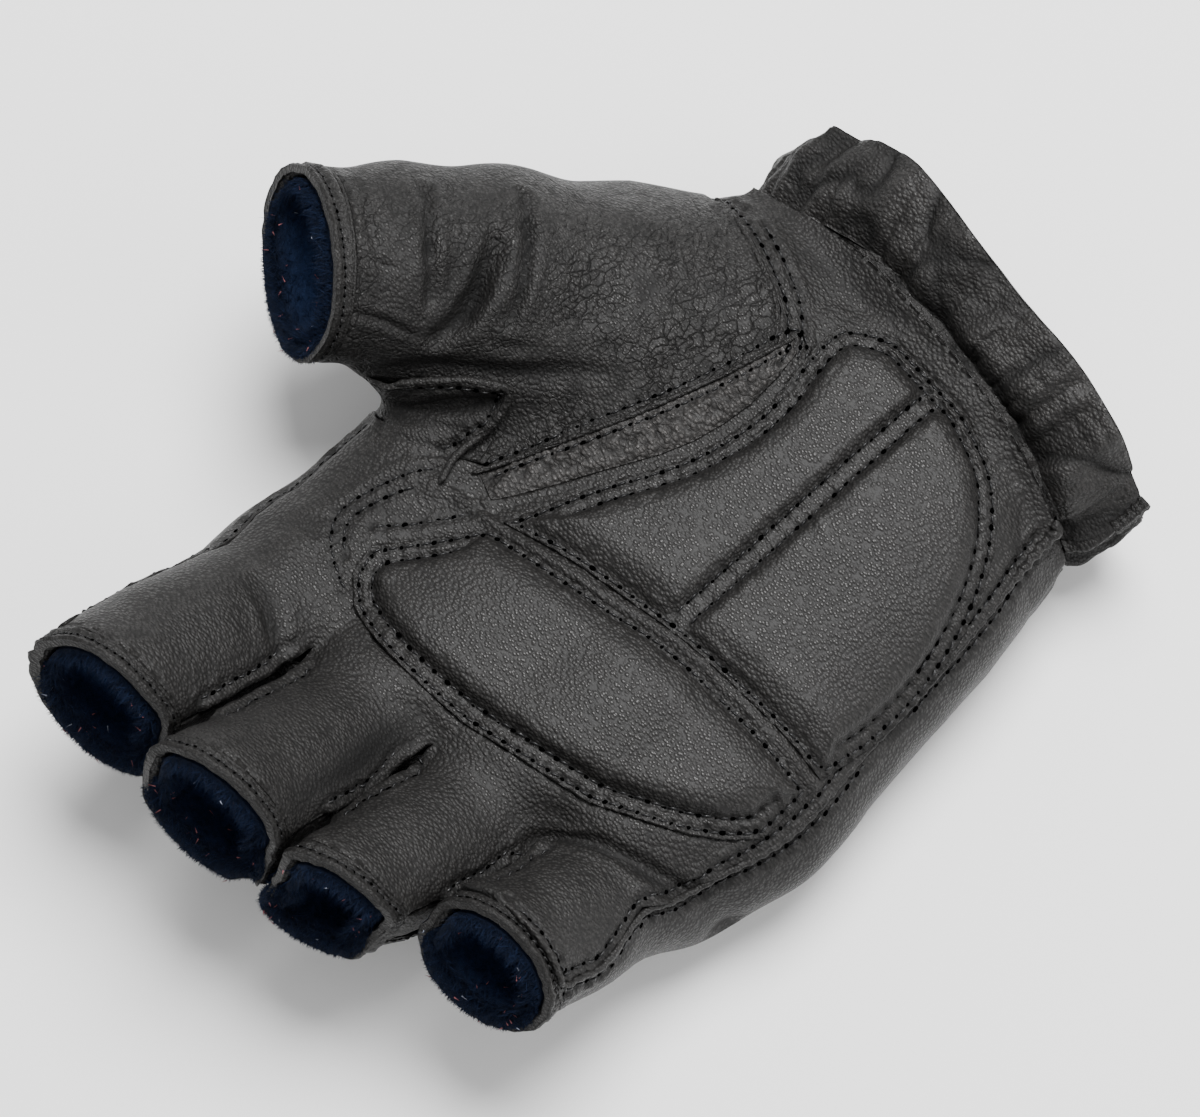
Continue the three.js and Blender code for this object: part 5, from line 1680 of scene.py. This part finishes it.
class GLOVE_OT_stitching(bpy.types.Operator):
    """Lays every row of stitches on the leather that it is sewn through"""
    bl_idname = "glove.stitching"
    bl_label = "Stitching"

    def execute(self, context):
        scene = context.scene
        stitches = scene.glove_stitches
        thread = thread_material("Waxed thread", stitches.colour, 0.4, 0.35)
        shape, faces = stitch_shape(stitches.pitch * 0.6, stitches.thickness)
        rng = np.random.default_rng(5)
        groups, pits = {}, []
        # painted shade: a dark flat lens at each needle hole
        hole, hole_faces = lens_shape(stitches.hole * 0.6, stitches.hole * 0.42, 0.14)
        for node, line in SHARED["rows"]:
            pitch = stitches.pitch * line.fineness
            places, along = along_line(line, pitch)
            if len(places) < 2:
                continue
            surface, height = SHARED["surfaces"][node]
            places, normals = settle(places, 2)
            which, _ = nearest(surface, places)
            lifted = places + normals * (height[which] + 0.02)[:, None]
            along = unit(along - np.einsum("ij,ij->i", along, normals)[:, None] * normals)
            across = np.cross(normals, along)
            turn = rng.normal(0.12, 0.05, len(places))[:, None]
            along, across = along + across * turn, across - along * turn
            laid = copies(shape[None] * line.fineness, lifted, along, across, normals)
            groups.setdefault(PIECES[node][2], []).append(laid)
            middles, normals = settle((places[1:] + places[:-1]) / 2, 2)
            steps = np.linalg.norm(np.diff(places, axis=0), axis=1)
            middles, normals, along, across = (
                v[steps < 1.4 * pitch] for v in (middles, normals, along[1:], across[1:]))
            which, _ = nearest(surface, middles)
            sunk = middles + normals * (height[which] + 0.1)[:, None]
            small = hole[None] * line.fineness * rng.uniform(0.8, 1.15, len(middles))[:, None, None]
            pits.append(copies(small, sunk, along, across, normals))
        for finish, found in groups.items():
            points = np.concatenate(found)
            triangles = repeated(faces, len(points) // len(shape), len(shape))
            add_piece(f"stitches_{finish}", points, triangles, {}, thread, "edge_leather")
        points = np.concatenate(pits)
        triangles = repeated(hole_faces, len(points) // len(hole), len(hole))
        # the needle holes' lenses are painted shade
        shade = thread_material("Needle hole", [c * 0.1 for c in stitches.colour], 0.95, 0.0)
        add_piece("needle_hole_shades", points, triangles, {}, shade, "edge_leather")
        return {"FINISHED"}


# The stage, in metres and degrees
FLOOR_HALF = 3.0
FLOOR_DROP = 0.0002
VIEW_ANGLES = (231.5, 72)       # round the glove, and above the floor
VIEW_DISTANCE = 0.8
VIEW_HEIGHT = 35                # of the middle of the view, in millimetres
VIEW_SHIFT = (-0.0083, 0.0069)  # of the middle of the view, to the right and up


def placed(name, data, location, behind=None):
    """Adds an object to the scene. A light or camera looks away from what is behind it."""
    thing = bpy.data.objects.new(name, data)
    thing.location = location
    if behind:
        thing.rotation_euler = behind.to_track_quat("Z", "Y").to_euler()
    bpy.context.scene.collection.objects.link(thing)
    return thing


class GLOVE_OT_stage(bpy.types.Operator):
    """Sets the floor, the lights and the camera"""
    bl_idname = "glove.stage"
    bl_label = "Stage"

    def execute(self, context):
        scene = context.scene
        stage = scene.glove_stage
        floor_mesh = bpy.data.meshes.new("floor")
        corners = [(x * FLOOR_HALF, y * FLOOR_HALF, 0)
                   for x, y in ((-1, -1), (1, -1), (1, 1), (-1, 1))]
        floor_mesh.from_pydata(corners, [], [(0, 1, 2, 3)])
        floor_mesh.materials.append(floor_material(stage.floor_colour))
        placed("floor", floor_mesh, (0, 0, -FLOOR_DROP))

        world = bpy.data.worlds.new("Studio")
        world.use_nodes = True
        sky = world.node_tree.nodes["Background"].inputs
        sky["Color"].default_value = (1, 1, 1, 1)
        sky["Strength"].default_value = stage.sky
        scene.world = world

        azimuth, elevation = (math.radians(angle) for angle in VIEW_ANGLES)
        right = Vector((math.cos(azimuth), math.sin(azimuth), 0))
        back = Vector((math.sin(azimuth) * math.cos(elevation),
                       -math.cos(azimuth) * math.cos(elevation), math.sin(elevation)))
        up = back.cross(right)
        target = Vector(to_frame((0, 0, VIEW_HEIGHT))) + right * VIEW_SHIFT[0] + up * VIEW_SHIFT[1]
        for name, aim, size, power in (
                ("key_light", right * 0.15 + up * 0.55 + back * 0.8, 0.6, stage.key_power),
                ("fill_light", right * 0.8 + up * -0.1 + back * 0.6, 0.9, stage.fill_power)):
            light = bpy.data.lights.new(name, "AREA")
            light.shape = "DISK"
            light.size = size
            light.energy = power
            placed(name, light, target + aim, aim)

        camera = bpy.data.cameras.new("camera")
        camera.lens = 144
        camera.sensor_width = 36
        camera.clip_end = 50
        scene.camera = placed("camera", camera, target + back * VIEW_DISTANCE, back)
        return {"FINISHED"}


OPERATORS = (
    GLOVE_OT_hand_leather, GLOVE_OT_edges, GLOVE_OT_cuff, GLOVE_OT_pads, GLOVE_OT_patches,
    GLOVE_OT_lining, GLOVE_OT_stitching, GLOVE_OT_stage,
)
SETTINGS = (
    ("glove_leather", LeatherSettings), ("glove_pads", PadSettings),
    ("glove_stitches", StitchSettings), ("glove_fleece", FleeceSettings),
    ("glove_stage", StageSettings),
)


class GLOVE_PT_parts(bpy.types.Panel):
    """The steps that build the glove, and their sizes and colours"""
    bl_idname = "GLOVE_PT_parts"
    bl_label = "Glove"
    bl_space_type = "VIEW_3D"
    bl_region_type = "UI"
    bl_category = "Glove"

    def draw(self, context):
        for operator in OPERATORS:
            self.layout.operator(operator.bl_idname)
        for attribute, settings in SETTINGS:
            box = self.layout.box()
            for key in settings.__annotations__:
                box.prop(getattr(context.scene, attribute), key)


def register():
    for attribute, settings in SETTINGS:
        bpy.utils.register_class(settings)
        setattr(bpy.types.Scene, attribute, PointerProperty(type=settings))
    for item in (*OPERATORS, GLOVE_PT_parts):
        bpy.utils.register_class(item)


def unregister():
    for item in reversed((*OPERATORS, GLOVE_PT_parts)):
        bpy.utils.unregister_class(item)
    for attribute, settings in reversed(SETTINGS):
        delattr(bpy.types.Scene, attribute)
        bpy.utils.unregister_class(settings)


def main():
    register()
    for operator in OPERATORS:
        group, name = operator.bl_idname.split(".")
        getattr(getattr(bpy.ops, group), name)()


if __name__ == "__main__":
    main()
